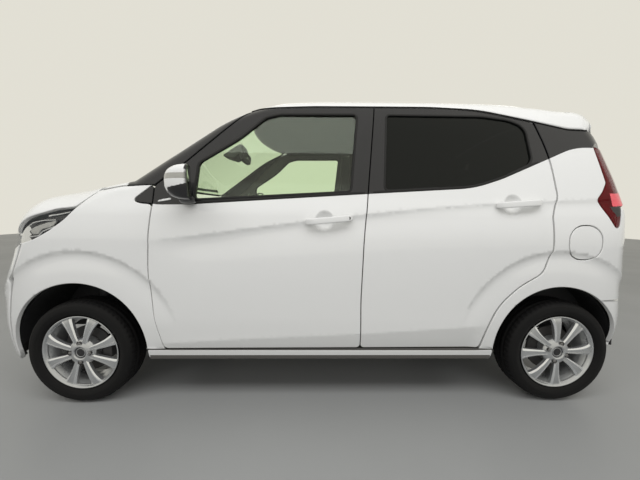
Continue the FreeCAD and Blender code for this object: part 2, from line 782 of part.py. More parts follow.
# Quarters, rear bumper, filler lid and tail lamps
rearBumperLine = [
    (tail + 100, 0),
    (tail - 100, 0),
    (tail - 108, sillFoot + 50),
    (tail - 66, 400, 100),
    (tail - 72, 640, 200),
    (tail - 100, 830),
    (tail + 100, 830),
]
bumperZone = sidePrism(rearBumperLine, -far, far)
rearBumper = shell.common(bumperZone).cut(tailCut)
addShape("rear_bumper", rearBumper)
rearReach = panel([
    (rearAxle - 500, sillEdge),
    (rearArchX, sillEdge),
    (rearArchX, 0),
    (tail + 200, 0),
    (tail + 200, 1700),
    (rearAxle - 500, 1700),
], 0, -far, -500)
quarter = shell.common(rearReach).cut(doorHoles).cut(tailCut).cut(roofZone).cut(bumperZone)
quarter = quarter.cut(block((rearAxle - 500, -640, 0), (tail, far, 620)))
tailLampOutline = [
    (tail - 252, 1346),
    (tail - 215, 1340),
    (tail - 60, 1150),
    (tail + 40, 1120),
    (tail + 40, 1030),
    (tail - 130, 905),
    (tail - 258, 1075),
    (tail - 204, 1161),
]
lampPrism = sidePrism(tailLampOutline, -far, far)
addShape("tail_lamps", bothSides(solids(quarter.common(lampPrism))))
quarter = quarter.cut(lampPrism)
lidX = rearAxle + 73
lidZ = 857
lidHalfX = size("fuelLidLength") / 2
lidHalfZ = size("fuelLidHeight") / 2


def lidOutline(grow):
    corner = 60
    return [
        (lidX - lidHalfX - grow, lidZ - lidHalfZ - grow, corner),
        (lidX - lidHalfX - grow, lidZ + lidHalfZ + grow, corner),
        (lidX + lidHalfX + grow, lidZ + lidHalfZ + grow, corner),
        (lidX + lidHalfX + grow, lidZ - lidHalfZ - grow, corner),
    ]


lidStop = lidX + lidHalfX - 16
needle = Part.makeLine(Vector(lidStop, -far, lidZ), Vector(lidStop, 0, lidZ))
lidBack = outer.common(needle).BoundBox.YMin + size("lidThickness")
beneath = outer.copy()
beneath.translate(Vector(0, size("lidThickness"), 0))
fuelLid = quarter.common(sidePrism(lidOutline(0), -far, -600)).cut(beneath)
addShape("fuel_lid", fuelLid)
pocket = sidePrism(lidOutline(size("lidGap")), -far, 60 - halfWidth)
buffer = rod((lidStop, 70 - halfWidth, lidZ), (lidStop, lidBack + 2 * size("runningGap"), lidZ), 6)
filler = rod((lidX, 70 - halfWidth, lidZ), (lidX, 30 - halfWidth, lidZ), 28)
quarterLeft = solids(quarter).cut(pocket).fuse([buffer, filler])
addShape("quarter_panels", Part.makeCompound([solids(quarterLeft), mirrored(solids(quarter))]))

# Floor, sills, posts and firewall
sillZone = block((frontArchX + size("archRadius"), -far, 0), (rearArchX, far, sillEdge))
frontFloorEnd = frontArchX + size("archRadius") + 1
frontRoom = size("frontTubIn")
floorFront = shell.common(block((firewall, -frontRoom, 0), (frontFloorEnd, frontRoom, floorTop)))
riserX = rearArchX - 335
riser = block((riserX, -540, sillFoot), (riserX + 20, 540, 410))
rearFloor = block((riserX, -540, 380), (tail - 110, 540, 410))
sills = shell.common(sillZone).cut(block((riserX + 20, -far, 0), (far, far, far)))
padFoot = sillFoot - size("padDrop")
padHalf = size("padLength") / 2
pads = []
for padX in (frontArchX + size("archRadius") + 62, rearArchX - size("rearArchRadius") - 54):
    low = (padX - padHalf, -size("padOut") - size("padWidth"), padFoot)
    pad = block(low, (padX + padHalf, -size("padOut"), sillFoot + 8))
    pads += [pad, mirrored(pad)]
floor = clearOfTubs(join([sills, floorFront, riser, rearFloor] + pads))
addShape("floor_pan", solids(floor.cut(rearBumper).cut(quarterLeft).cut(mirrored(solids(quarter)))))


def doorPost(axisX, before, behind):
    """A post with its foot on the floor, from the side it leans in at the belt."""
    top = belt - 60
    return crossPrism([
        (-size("postIn"), floorTop),
        (-size("postOut"), floorTop),
        (-size("postOut"), 880),
        (-size("postTopOut"), top),
        (-size("postIn"), top),
    ], axisX - before, axisX + behind)


frontPost = join([clearOfTubs(doorPost(frontAxis, 60, 30))] + fixedHalves[:2])
middlePost = join([doorPost(rearAxis, 62, 42)] + fixedHalves[2:])
upperPost = crossPrism([
    (-size("postIn"), belt - 60),
    (-size("postTopOut"), belt - 60),
    (-size("railHalfWidth") + 52, rail - 30),
    (-size("railHalfWidth") + 90, rail - 30),
], rearAxis - 40, rearAxis + 40).cut(roof)
middlePost = join([middlePost, upperPost])
addShape("door_posts", Part.makeCompound([frontPost, mirrored(frontPost), middlePost, mirrored(middlePost)]))
wall = join([
    block((firewall - 20, -600, 660), (firewall, 600, 1030)),
    block((firewall - 20, 8 - size("frontTubIn"), sillFoot), (firewall, size("frontTubIn") - 8, 660)),
])
addShape("firewall", clearOfTubs(wall).cut(fender).cut(mirrored(fender)))


# Wheels, whose sketches and places follow the sheet by formula

def formula(value):
    return value if isinstance(value, str) else repr(float(value))


def value(text):
    return float(sheet.evalExpression(formula(text)))


def originFeature(body, role):
    return next(feature for feature in body.Origin.OriginFeatures if feature.Role == role)


def boundSketch(body, label, plane, points):
    """A closed outline in one of the body's planes; each coordinate is a number or a formula of the sheet."""
    sketch = body.newObject("Sketcher::SketchObject", label)
    sketch.AttachmentSupport = (originFeature(body, plane), [""])
    sketch.MapMode = "FlatFace"
    corners = [Vector(value(u), value(v), 0) for u, v in points]
    count = len(corners)
    for i in range(count):
        sketch.addGeometry(Part.LineSegment(corners[i], corners[(i + 1) % count]))
    for i in range(count):
        sketch.addConstraint(Sketcher.Constraint("Coincident", i, 2, (i + 1) % count, 1))
    for i, point in enumerate(points):
        for kind, coordinate in zip(("DistanceX", "DistanceY"), point):
            k = sketch.addConstraint(Sketcher.Constraint(kind, -1, 1, i, 1, value(coordinate)))
            sketch.setExpression(f"Constraints[{k}]", formula(coordinate))
    return sketch


def turned(body, label, points):
    """Additive ring: the outline of radius against distance outwards, turned about the body's Y axis."""
    ring = body.newObject("PartDesign::Revolution", label)
    ring.Profile = boundSketch(body, label + "Outline", "XY_Plane", points)
    ring.ReferenceAxis = (originFeature(body, "Y_Axis"), [""])
    ring.Angle = 360
    return ring


def patterned(body, label, points, occurrences):
    """A through cut with the outline's shape, repeated round the body's Y axis."""
    cut = body.newObject("PartDesign::Pocket", label)
    cut.Profile = boundSketch(body, label + "Outline", "XZ_Plane", points)
    cut.Type = "ThroughAll"
    cut.Midplane = True
    pattern = body.newObject("PartDesign::PolarPattern", label + "s")
    pattern.Originals = [cut]
    pattern.Axis = (originFeature(body, "Y_Axis"), [""])
    pattern.Angle = 360
    pattern.setExpression("Occurrences", occurrences)
    body.Tip = pattern
    return pattern


def placed(body, axle, track, sign):
    """The body's place on its axle; a left wheel is turned over so that its outer face points to the left."""
    if sign < 0:
        body.Placement.Rotation = FreeCAD.Rotation(Vector(1, 0, 0), 180)
    places = (axle, f"{sign} * {track} / 2", "Sizes.hubHeight")
    for axis, place in zip("xyz", places):
        body.setExpression(f".Placement.Base.{axis}", place)
    return keep(body, body.Name)


rimHalf = "Sizes.rimWidth / 2"
bead = "Sizes.rimRadius + Sizes.runningGap"
sideWall = "Sizes.tyreWidth / 2"
tyreOutline = [
    (bead, f"4 - {rimHalf}"),
    ("Sizes.rimFlange + 2", f"4 - {rimHalf}"),
    ("Sizes.rimFlange + 20", f"-{sideWall}"),
    ("Sizes.tyreRadius - 26", f"-{sideWall}"),
    ("Sizes.tyreRadius", f"24 - {sideWall}"),
    ("Sizes.tyreRadius", f"{sideWall} - 24"),
    ("Sizes.tyreRadius - 26", sideWall),
    ("Sizes.rimFlange + 20", sideWall),
    ("Sizes.rimFlange + 2", f"{rimHalf} - 4"),
    (bead, f"{rimHalf} - 4"),
]
face = "Sizes.hubFaceOffset"
rimOutline = [
    ("Sizes.rimFlange", f"{rimHalf} + 8"),
    ("Sizes.rimFlange", rimHalf),
    ("Sizes.rimRadius", f"{rimHalf} - 3"),
    ("Sizes.rimRadius", f"3 - {rimHalf}"),
    ("Sizes.rimFlange", f"-{rimHalf}"),
    ("Sizes.rimFlange", f"-{rimHalf} - 8"),
    ("Sizes.rimRadius - 8", f"-{rimHalf} - 8"),
    ("Sizes.rimRadius - 8", f"{face} - 4"),
    ("Sizes.boltCircleRadius + 20", face),
    ("Sizes.hubBore", face),
    ("Sizes.hubBore", f"{face} + 13"),
    ("Sizes.boltCircleRadius - 20", f"{face} + 17"),
    ("Sizes.boltCircleRadius + 14", f"{face} + 14"),
    ("Sizes.rimRadius - 58", f"{rimHalf} + 8"),
    ("Sizes.rimRadius - 12", f"{rimHalf} + 1"),
    ("Sizes.rimRadius + 4", f"{rimHalf} + 8"),
]
windowOutline = [(-16, 78), (16, 78), (39, 148), (26, 161), (-26, 161), (-39, 148)]
discFace = f"({face} - 42)"
discOutline = [
    ("Sizes.hubBore", f"{face} - 52"),
    (40, f"{face} - 52"),
    (62, discFace),
    ("Sizes.discRadius", discFace),
    ("Sizes.discRadius", f"{discFace} + Sizes.discThickness"),
    (64, f"{discFace} + Sizes.discThickness"),
    (60, f"{face} + 2"),
    ("Sizes.hubBore", f"{face} + 2"),
]
capOutline = [(0, f"{face} + 10"), (26, f"{face} + 10"), (24, f"{face} + 21"), (0, f"{face} + 22")]


def nutOutline():
    """A square recess round a wheel nut, on the bolt circle."""
    reach = "Sizes.boltRecessRadius * 0.8"
    middle = "Sizes.boltCircleRadius"
    return [(f"-{reach}", f"{middle} - {reach}"), (reach, f"{middle} - {reach}"),
            (reach, f"{middle} + {reach}"), (f"-{reach}", f"{middle} + {reach}")]


nosePlace = "(Sizes.frontOverhang - Sizes.overallLength / 2)"
wheelTable = [
    # end, axle's x, track
    ("front", nosePlace, "Sizes.frontTrack"),
    ("rear", f"({nosePlace} + Sizes.wheelbase)", "Sizes.rearTrack"),
]
for end, axle, track in wheelTable:
    for sideName, sign in (("left", -1), ("right", 1)):
        tyre = doc.addObject("PartDesign::Body", f"tyre_{end}_{sideName}")
        turned(tyre, f"tyreRing_{end}_{sideName}", tyreOutline)
        placed(tyre, axle, track, sign)
        wheel = doc.addObject("PartDesign::Body", f"wheel_{end}_{sideName}")
        turned(wheel, f"rim_{end}_{sideName}", rimOutline)
        patterned(wheel, f"spokeWindow_{end}_{sideName}", windowOutline, "Sizes.spokeCount")
        patterned(wheel, f"nutRecess_{end}_{sideName}", nutOutline(), "Sizes.boltCount")
        turned(wheel, f"disc_{end}_{sideName}", discOutline)
        turned(wheel, f"cap_{end}_{sideName}", capOutline)
        placed(wheel, axle, track, sign)

# Steering knuckles with their struts
kingFoot = Vector(frontAxle, -size("kingpinFoot"), size("kingpinFootHeight"))
kingHead = Vector(frontAxle, -size("kingpinHead"), size("kingpinHeadHeight"))
kingAxis = (kingHead - kingFoot).normalize()
hubFace = -(size("frontTrack") / 2 + size("hubFaceOffset") - 52)
uprightFoot = 187
spindle = rod((frontAxle, hubFace - 60, hub), (frontAxle, hubFace + 40, hub), size("spindleRadius"))
carrier = rod((frontAxle, hubFace + 5, hub), (frontAxle, hubFace + 50, hub), 42)
upright = block((frontAxle - 22, hubFace + 12, uprightFoot), (frontAxle + 22, hubFace + 40, hub + 110))
reach = block((frontAxle - 20, hubFace + 20, hub + 95), (frontAxle + 20, -510, hub + 125))
steerArm = block((frontAxle + 10, hubFace + 14, hub - 30), (frontAxle + 120, hubFace + 34, hub - 10))
trackRod = rod((frontAxle + 110, hubFace + 30, hub - 20), (frontAxle + 110, -545, hub - 20), 9)
caliper = block((frontAxle + 92, hubFace + 5, hub - 38), (frontAxle + 136, hubFace - 39, hub + 38))
caliper = caliper.cut(Part.makeCylinder(
    size("discRadius") + 5, 24, Vector(frontAxle, hubFace - 29, hub), Vector(0, 1, 0)))
bracket = block((frontAxle + 20, hubFace + 5, hub + 2), (frontAxle + 100, hubFace + 33, hub + 30))
strutFoot = Vector(frontAxle, -528, hub + 110)
strutAxis = (kingHead - strutFoot).normalize()
strutLength = (kingHead - strutFoot).Length
strutTube = Part.makeCylinder(24, strutLength - 160, strutFoot, strutAxis)
studFoot = uprightFoot + 3
stud = Part.makeCylinder(11, 30, kingFoot + kingAxis * (studFoot - kingFoot.z), kingAxis)
knuckle = join([spindle, carrier, upright, reach, steerArm, trackRod, caliper, bracket, stud]).cut(strutTube)
addShape("knuckle_left", knuckle)
addShape("knuckle_right", mirrored(solids(knuckle)))


def strutPlace(distance):
    return strutFoot + strutAxis * distance


strutRod = Part.makeCylinder(10, 161, strutPlace(strutLength - 162), strutAxis)
coilStart = strutLength - 250
coil = Part.makeCylinder(56, 200, strutPlace(coilStart), strutAxis)
coil = coil.cut(Part.makeCylinder(44, 200, strutPlace(coilStart), strutAxis))
lowerSeat = Part.makeCylinder(60, 6, strutPlace(coilStart - 5), strutAxis)
upperSeat = Part.makeCylinder(60, 8, strutPlace(strutLength - 52), strutAxis)
strut = join([strutTube, strutRod, coil, lowerSeat, upperSeat])
addShape("strut_left", strut)
addShape("strut_right", mirrored(solids(strut)))

# What carries the struts and arms, on the body's side
apronIn = size("frontTubIn") - 11
headZ = size("kingpinHeadHeight")
beamRoom = bayInside.copy()
beamRoom.translate(Vector(size("runningGap"), 0, 0))
tower = join([
    block((nose + 84, -apronIn - 8, 330), (firewall - 20, -apronIn, 640)),
    block((nose + 300, -apronIn - 8, 600), (firewall - 20, -apronIn, headZ + 12)),
    block((nose + 84, -apronIn - 8, 600), (nose + 310, -apronIn, 840)),
    block((frontAxle - 90, -600, headZ), (frontAxle + 90, -apronIn, headZ + 12)),
    block((nose, -560, 500), (nose + 115, 10, 580)).common(beamRoom),
    block((nose + 118, -apronIn, 300), (nose + 170, 10, 330)),
    block((nose + 118, -apronIn - 8, 300), (nose + 170, -apronIn, 340)),
])
tower = clearOfTubs(tower).cut(fender).cut(hood)
towPlace = (towOut, towHeight)
socket = rod((nose + 84, *towPlace), (nose + 130, *towPlace), size("towHoleRadius") + 8)
socketHole = rod((nose + 60, *towPlace), (nose + 124, *towPlace), size("towHoleRadius"))
towers = join([solids(tower), mirrored(solids(tower)), socket]).cut(socketHole)
addShape("strut_towers", towers)
subframe = join([
    block((frontAxle - 60, -330, 200), (frontAxle + 160, 330, sillFoot)),
    block((frontAxle + 100, -330, 200), (firewall + 60, -270, sillFoot - size("runningGap"))),
    block((frontAxle + 100, 270, 200), (firewall + 60, 330, sillFoot - size("runningGap"))),
])
ballHeight = uprightFoot - size("runningGap") - 20
lowArm = join([
    rod((frontAxle + 100, -320, 215), (frontAxle, -size("kingpinFoot") + 22, ballHeight + 6), 13),
    rod((frontAxle - 40, -320, 215), (frontAxle, -size("kingpinFoot") + 22, ballHeight + 6), 13),
    Part.makeSphere(20, Vector(frontAxle, -size("kingpinFoot") + 12, ballHeight)),
])
rack = rod((frontAxle + 110, -430, 262), (frontAxle + 110, 430, 262), 12)
rackFoot = block((frontAxle + 95, -60, 230), (frontAxle + 125, 60, 262))
driveShaft = rod((frontAxle, -300, 285), (frontAxle, -540, hub), 11)
addShape("front_subframe", join([subframe, lowArm, mirrored(lowArm), rack, rackFoot]))
engine = join([
    block((nose + 200, -320, 300), (firewall - 110, 320, 800)),
    block((frontAxle - 55, -310, sillFoot + size("runningGap")), (frontAxle + 60, 310, 310)),
])
addShape("engine_block", join([engine, driveShaft, mirrored(driveShaft)]))


def boundBox(label, spans, corner):
    """A block whose sides and corner are numbers or formulas of the sheet."""
    piece = doc.addObject("Part::Box", label)
    for side, span in zip(("Length", "Width", "Height"), spans):
        piece.setExpression(side, formula(span))
    for axis, place in zip("xyz", corner):
        piece.setExpression(f".Placement.Base.{axis}", formula(place))
    return keep(piece, label)


armPivot = (rearAxle - 430, -480, 196)
armElbow = (rearAxle - 140, -480, 245)
armEnd = (rearAxle, -520, hub)
arm = join([
    tube([armPivot, armElbow, armEnd], 22),
    block((rearAxle - 450, -505, 196), (rearAxle - 410, -455, sillFoot - size("runningGap"))),
    rod((rearAxle, -520, hub), (rearAxle, -632, hub), 24),
    rod((rearAxle, -630, hub), (rearAxle, -690, hub), size("spindleRadius")),
])
beam = rod((rearAxle - 140, -480, 250), (rearAxle - 140, 480, 250), 30)
addShape("rear_axle", join([arm, mirrored(arm), beam]))
radiatorFoot = "330 + Sizes.runningGap"
boundBox("radiator", (35, 600, f"690 - ({radiatorFoot})"),
         ("125 - Sizes.overallLength / 2", -300, radiatorFoot))
boundBox("fuel_tank", (270, 600, "Sizes.sillBottom - 150"), (f"{wheelTable[1][1]} - 640", -300, 150))
pipe = tube([(frontAxle + 200, 80, 190), (frontAxle + 500, 80, 190), (frontAxle + 740, 365, 190),
             (rearAxle - 20, 365, 182), (rearAxle + 60, 365, 240)], 20)
muffler = block((rearAxle + 50, 200, 190), (tail - 115, 470, 330))
hanger = block((rearAxle + 120, 320, 330), (rearAxle + 140, 340, 380))
addShape("exhaust", join([pipe, muffler, hanger]))

# Cabin
wheelCentre = Vector(frontDoor + 330, size("driverOffset"), 985)
tilt = math.radians(size("columnAngleDeg"))
columnAxis = Vector(math.cos(tilt), 0, math.sin(tilt))
column = Part.makeCylinder(32, 150, wheelCentre - columnAxis * 180.3, columnAxis)
addShape("steering_column", column)
dashboard = sidePrism([
    (firewall, 690),
    (firewall, 1010),
    (frontDoor + 110, 1010, 60),
    (frontDoor + 185, 960, 30),
    (frontDoor + 185, 860, 30),
    (frontDoor + 120, 820, 40),
    (frontDoor + 90, 690, 20),
], -555, 555)
addShape("dashboard", clearOfTubs(dashboard.cut(column).cut(solids(floor))))


def seatShape(front, y, half, depth, cushionTop, backTop, lean):
    """Cushion and leaning back with rounded outlines, made half a width either side of y."""
    low = cushionTop - 160
    cushion = sidePrism([
        (front, low, 40),
        (front, cushionTop, 60),
        (front + depth, cushionTop - 25),
        (front + depth, low)], y - half, y + half)
    back = sidePrism([
        (front + depth - 40, cushionTop - 80, 30),
        (front + depth - 40, backTop, 50),
        (front + depth + 80, backTop, 50),
        (front + depth + 90, cushionTop - 80, 30)], y - half, y + half)
    back.rotate(Vector(front + depth - 40, y, cushionTop - 80), Vector(0, 1, 0), lean)
    return cushion, back


seatHalf = 215
seats = []
for y in (-325, 325):
    seatFront = frontDoor + 420
    cushion, back = seatShape(seatFront, y, seatHalf, 480, 560, 1100, 18)
    rest = sidePrism([
        (seatFront + 440, 1112, 30),
        (seatFront + 440, 1270, 40),
        (seatFront + 520, 1270, 30),
        (seatFront + 520, 1112, 30)], y - 125, y + 125)
    stems = block((seatFront + 475, y - 60, 1080), (seatFront + 490, y + 60, 1130))
    head = rest.fuse(stems)
    head.rotate(Vector(seatFront + 440, y, 480), Vector(0, 1, 0), 18)
    plinth = block((frontDoor + 500, y - 180, floorTop), (frontDoor + 820, y + 180, 402))
    seats.append(join([cushion, back, head, plinth]))
addShape("front_seats", Part.makeCompound(seats))
bench, benchBack = seatShape(pillar + 380, 0, 530, 440, 600, 1090, 14)
benchFoot = block((pillar + 420, -450, floorTop), (riserX, 450, 442))
addShape("rear_seat", clearOfTubs(join([bench, benchBack, benchFoot])))

rimMiddle = size("steeringWheelRadius")
rimThick = size("steeringRimRadius")
rimPlaces = []
for k in range(9):
    turn = math.radians(45 * k)
    outwards = side * (rimMiddle + rimThick * math.cos(turn))
    rimPlaces.append(wheelCentre + outwards + columnAxis * rimThick * math.sin(turn))
section = Part.makePolygon(rimPlaces)
ring = Part.Face(section).revolve(wheelCentre, columnAxis, 360)
hubDisc = Part.makeCylinder(60, 40, wheelCentre - columnAxis * 30, columnAxis)
upward = columnAxis.cross(side)
wheelSpokes = [rod(wheelCentre, wheelCentre + way * rimMiddle, 12) for way in (side, -side, upward)]
addShape("steering_wheel", join([ring, hubDisc] + wheelSpokes))

mirrorFront = frontDoor + 137
mirrorBack = frontDoor + 257
mirrorBox = crossPrism([
    (-(halfWidth + 140), belt - 30, 45),
    (-(halfWidth + 132), belt + 134, 50),
    (-(halfWidth + 6), belt + 137, 40),
    (-(halfWidth + 2), belt - 33, 40),
], mirrorFront, mirrorBack)
mirrorBox = mirrorBox.common(planPrism([
    (mirrorFront, -(halfWidth + 100), 40),
    (mirrorFront + 40, -(halfWidth + 160), 60),
    (mirrorBack, -(halfWidth + 160)),
    (mirrorBack, -halfWidth + 30),
    (mirrorFront + 20, -halfWidth + 30),
], 0, far))
mirrorFoot = block(
    (mirrorBack - 80, -(halfWidth + 38), belt - 48), (mirrorBack - 12, -(halfWidth - 52), belt - 27))
mirror = join([mirrorBox, mirrorFoot]).cut(doors["door_front_left"])
addShape("mirror_left", mirror)
addShape("mirror_right", mirrored(solids(mirror)))

doc.recompute()
for piece in parts:
    shape = piece.Shape
    if "Invalid" in piece.State or "Error" in piece.State or shape.isNull() or not shape.isValid():
        raise RuntimeError(f"{piece.Label} failed: {piece.State}")
os.makedirs("parts", exist_ok=True)
for piece in parts:
    piece.Shape.exportStep(f"parts/{piece.Label}.step")
    box = piece.Shape.BoundBox
    corners = [f"{low:.0f}..{high:.0f}" for low, high in (
        (box.XMin, box.XMax), (box.YMin, box.YMax), (box.ZMin, box.ZMax))]
    print(piece.Label, len(piece.Shape.Solids), "solids", f"{piece.Shape.Volume / 1e6:.2f} dm3", *corners)
print("hood axis", hoodAxis, "tailgate axis", tailgateAxis, "front axis", frontAxis, "rear axis", rearAxis)
print("lid axis", lidX - lidHalfX, "wheel centre", wheelCentre, columnAxis, "king", kingFoot, kingHead)
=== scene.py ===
import math

import bpy
import numpy as np
from mathutils import Matrix, Vector
from mathutils.geometry import delaunay_2d_cdt


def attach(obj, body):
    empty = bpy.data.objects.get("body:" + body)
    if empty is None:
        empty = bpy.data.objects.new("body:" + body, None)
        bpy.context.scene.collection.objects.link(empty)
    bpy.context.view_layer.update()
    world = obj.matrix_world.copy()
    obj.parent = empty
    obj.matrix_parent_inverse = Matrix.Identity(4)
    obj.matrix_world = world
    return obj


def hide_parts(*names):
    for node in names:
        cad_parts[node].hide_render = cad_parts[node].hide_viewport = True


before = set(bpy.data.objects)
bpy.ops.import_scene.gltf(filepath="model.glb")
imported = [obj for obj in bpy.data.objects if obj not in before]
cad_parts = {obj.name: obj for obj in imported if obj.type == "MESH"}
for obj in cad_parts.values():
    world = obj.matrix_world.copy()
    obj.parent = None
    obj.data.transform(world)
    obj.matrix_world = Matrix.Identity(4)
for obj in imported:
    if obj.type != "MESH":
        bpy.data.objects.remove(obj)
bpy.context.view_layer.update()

# What a length is held above before it divides
nearZero = 1e-12

# Driving sizes in metres; the origin is on the ground in the middle of the car,
# +X to the rear, -Y to the left
car = {
    "length": 3.395, "height": 1.64,
    "frontAxle": -1.1975, "rearAxle": 1.2975, "hub": 0.272,
    "frontTrack": 1.300, "rearTrack": 1.290,
    "tyreRadius": 0.272, "tyreWidth": 0.155, "rimRadius": 0.178, "rimLip": 0.195, "rimWidth": 0.114,
    "archHeight": 0.303, "frontArch": 0.337, "rearArch": 0.326, "frontArchX": -1.1895, "rearArchX": 1.2705,
    "archCrease": 0.503, "gap": 0.0025, "glassInset": 0.007,
}
nose = -car["length"] / 2
tail = car["length"] / 2
frontAxle = car["frontAxle"]
rearAxle = car["rearAxle"]


# Small curve helpers

# Smooth curve through knots (u, v), with no overshoot between them, straight on beyond both ends
def curve(knots, u):
    knotU, knotV = np.array(knots, float).T
    step = np.diff(knotU)
    slope = np.diff(knotV) / step
    turns = slope[:-1] * slope[1:] <= 0
    mean = np.where(turns, 1.0, slope[:-1] + slope[1:])
    tangent = np.concatenate([slope[:1], np.where(turns, 0.0, 2 * slope[:-1] * slope[1:] / mean), slope[-1:]])
    u = np.asarray(u, float)
    held = np.clip(u, knotU[0], knotU[-1])
    i = np.clip(np.searchsorted(knotU, held) - 1, 0, len(step) - 1)
    s = (held - knotU[i]) / step[i]
    value = ((1 + 2 * s) * (1 - s) ** 2 * knotV[i] + s * (1 - s) ** 2 * step[i] * tangent[i]
             + s ** 2 * (3 - 2 * s) * knotV[i + 1] + s ** 2 * (s - 1) * step[i] * tangent[i + 1])
    beyond = u - held
    return value + beyond * np.where(beyond < 0, tangent[0], tangent[-1])


def smoothStep(low, high, u):
    s = np.clip((u - low) / (high - low), 0, 1)
    return s * s * (3 - 2 * s)


# Intersection of two solids given as distances, with their common edge rounded to the radius
def roundMax(a, b, radius):
    corner = np.hypot(np.maximum(a + radius, 0), np.maximum(b + radius, 0))
    return np.minimum(-radius, np.maximum(a, b)) + corner


# The body's surface is where bodyField is zero: negative inside the body and positive outside

sideKnots = [(0.15, 0.690), (0.24, 0.712), (0.36, 0.730), (0.47, 0.7365), (0.66, 0.7375), (0.86, 0.7365),
             (0.98, 0.728), (1.085, 0.703), (1.30, 0.655), (1.50, 0.606), (1.60, 0.570)]
noseKnots = [(0.15, 0.075), (0.195, 0.042), (0.28, 0.014), (0.42, 0.0), (0.60, 0.0), (0.70, 0.010),
             (0.80, 0.034), (0.90, 0.064), (1.05, 0.124), (1.20, 0.21)]
hoodKnots = [(-1.75, 0.985), (-1.62, 1.040), (-1.50, 1.075), (-1.36, 1.103), (-1.1975, 1.132), (-0.95, 1.177)]
roofKnots = [(-0.55, 1.578), (-0.32, 1.610), (0.05, 1.636), (0.45, 1.640), (0.917, 1.636), (1.20, 1.616),
             (1.34, 1.597), (1.42, 1.589), (1.53, 1.576), (1.70, 1.532)]
tailKnots = [(0.15, 0.16), (0.24, 0.055), (0.33, 0.018), (0.43, 0.0), (0.64, 0.002), (0.80, 0.012),
             (1.01, 0.012), (1.135, 0.040), (1.27, 0.090), (1.43, 0.156), (1.449, 0.170), (1.468, 0.149),
             (1.56, 0.212), (1.64, 0.262)]
shoulderKnots = [(-0.95, 0.836), (-0.75, 0.861), (-0.556, 0.886), (-0.262, 0.927), (-0.065, 0.952),
                 (0.231, 0.9895), (0.531, 1.022), (0.834, 1.046), (1.23, 1.067), (1.50, 1.077)]
# Fold along the foot of the doors
footKnots = [(-0.75, 0.330), (-0.35, 0.356), (0.25, 0.385), (0.89, 0.427)]
screenSlope = math.radians(34)
screenFoot = (frontAxle + 0.088, 1.105)
screenBend = 3.0
# Door handles: middle of the cup, x and z
handleCups = [(0.056, 0.957), (1.003, 1.043)]


# How far the side's skin stands proud of its plain section: shoulder line, arch creases, handle cups
def sideRelief(x, z):
    below = np.maximum(curve(shoulderKnots, x) - z, 0) / 0.045
    fade = smoothStep(-0.90, -0.50, x) * (1 - smoothStep(1.46, 1.58, x))
    relief = -0.0085 * below * np.exp(1 - below) * fade
    foot = z - curve(footKnots, x)
    footFade = smoothStep(-0.82, -0.70, x) * (1 - smoothStep(0.80, 0.93, x)) * smoothStep(0.285, 0.300, z)
    relief = relief + footFade * np.where(foot > 0, 0.0055 * np.exp(-foot / 0.07), 0.0055 + 0.16 * foot)
    for centreX, crease in ((-1.172, car["archCrease"]), (1.2555, 0.512)):
        reach = np.hypot(x - centreX, z - car["archHeight"])
        depth = np.maximum(crease - reach, 0) / 0.036
        relief = relief - 0.0095 * depth * np.exp(1 - depth) * smoothStep(0.40, 0.62, z)
    for cupX, cupZ in handleCups:
        reach = np.hypot((x - cupX) * 1.12, z - cupZ) / 0.053
        relief = relief - 0.021 * np.maximum(1 - reach ** 2, 0) ** 1.1
    return relief


def bodyField(x, y, z):
    ahead = np.maximum(nose + 0.33 - x, 0) / 0.222
    behind = np.maximum(x - (tail - 0.25), 0) / 0.205
    fuller = 1 - smoothStep(0.55, 0.82, z)
    taper = (0.055 - 0.016 * fuller) * ahead ** 2 + 0.026 * behind ** 2
    half = curve(sideKnots, z) - taper + sideRelief(x, z)
    side = np.abs(y) - half
    front = nose + curve(noseKnots, z) + (0.108 - 0.041 * fuller) * (y / 0.682) ** 2 - x
    rear = x - (tail - curve(tailKnots, z)) + 0.045 * (y / 0.711) ** 2
    hood = np.maximum(z - curve(hoodKnots, x) + 0.022 * (y / 0.56) ** 2, x + 0.7)
    roof = z - curve(roofKnots, x) + 0.046 * (y / 0.575) ** 2
    screen = ((z - screenFoot[1]) * math.cos(screenSlope) - (x - screenFoot[0]) * math.sin(screenSlope)
              + y ** 2 / (2 * screenBend))
    top = np.minimum(hood, roundMax(roof, screen, 0.10))
    around = roundMax(roundMax(side, front, 0.12 - 0.034 * fuller), rear, 0.10)
    radius = 0.045 + 0.075 * (1 - smoothStep(-1.25, -0.95, x)) - 0.028 * smoothStep(1.25, 1.45, x)
    return roundMax(around, top, radius)


def fieldNormal(points):
    step = 0.0015
    gradient = np.stack([
        bodyField(*(points + step * axis).T) - bodyField(*(points - step * axis).T) for axis in np.eye(3)],
        -1)
    return gradient / np.linalg.norm(gradient, axis=1, keepdims=True)


# Points moved along a direction to the first place where the field is -inset
def settle(points, direction, inset=0.0, reach=2.4):
    direction = np.array(direction, float) / np.linalg.norm(direction)
    points = np.array(points, float)
    start = points - direction * ((points @ direction)[:, None] + reach)
    counts = 72
    low = np.zeros(len(points))
    found = np.zeros(len(points), bool)
    span = 2 * reach / counts
    for k in range(1, counts + 1):
        place = start + direction * (k * span)
        hit = (bodyField(*place.T) + inset < 0) & ~found
        low[hit] = (k - 1) * span
        found |= hit
    high = low + span
    for _ in range(24):
        middle = (low + high) / 2
        hit = bodyField(*(start + direction * middle[:, None]).T) + inset < 0
        high = np.where(hit, middle, high)
        low = np.where(hit, low, middle)
    return start + direction * high[:, None]


viewAxes = {"left": (0, 1, 0), "top": (0, 0, -1), "front": (1, 0, 0), "back": (-1, 0, 0)}
viewPlanes = {"left": (0, 2), "top": (0, 1), "front": (1, 2), "back": (1, 2)}


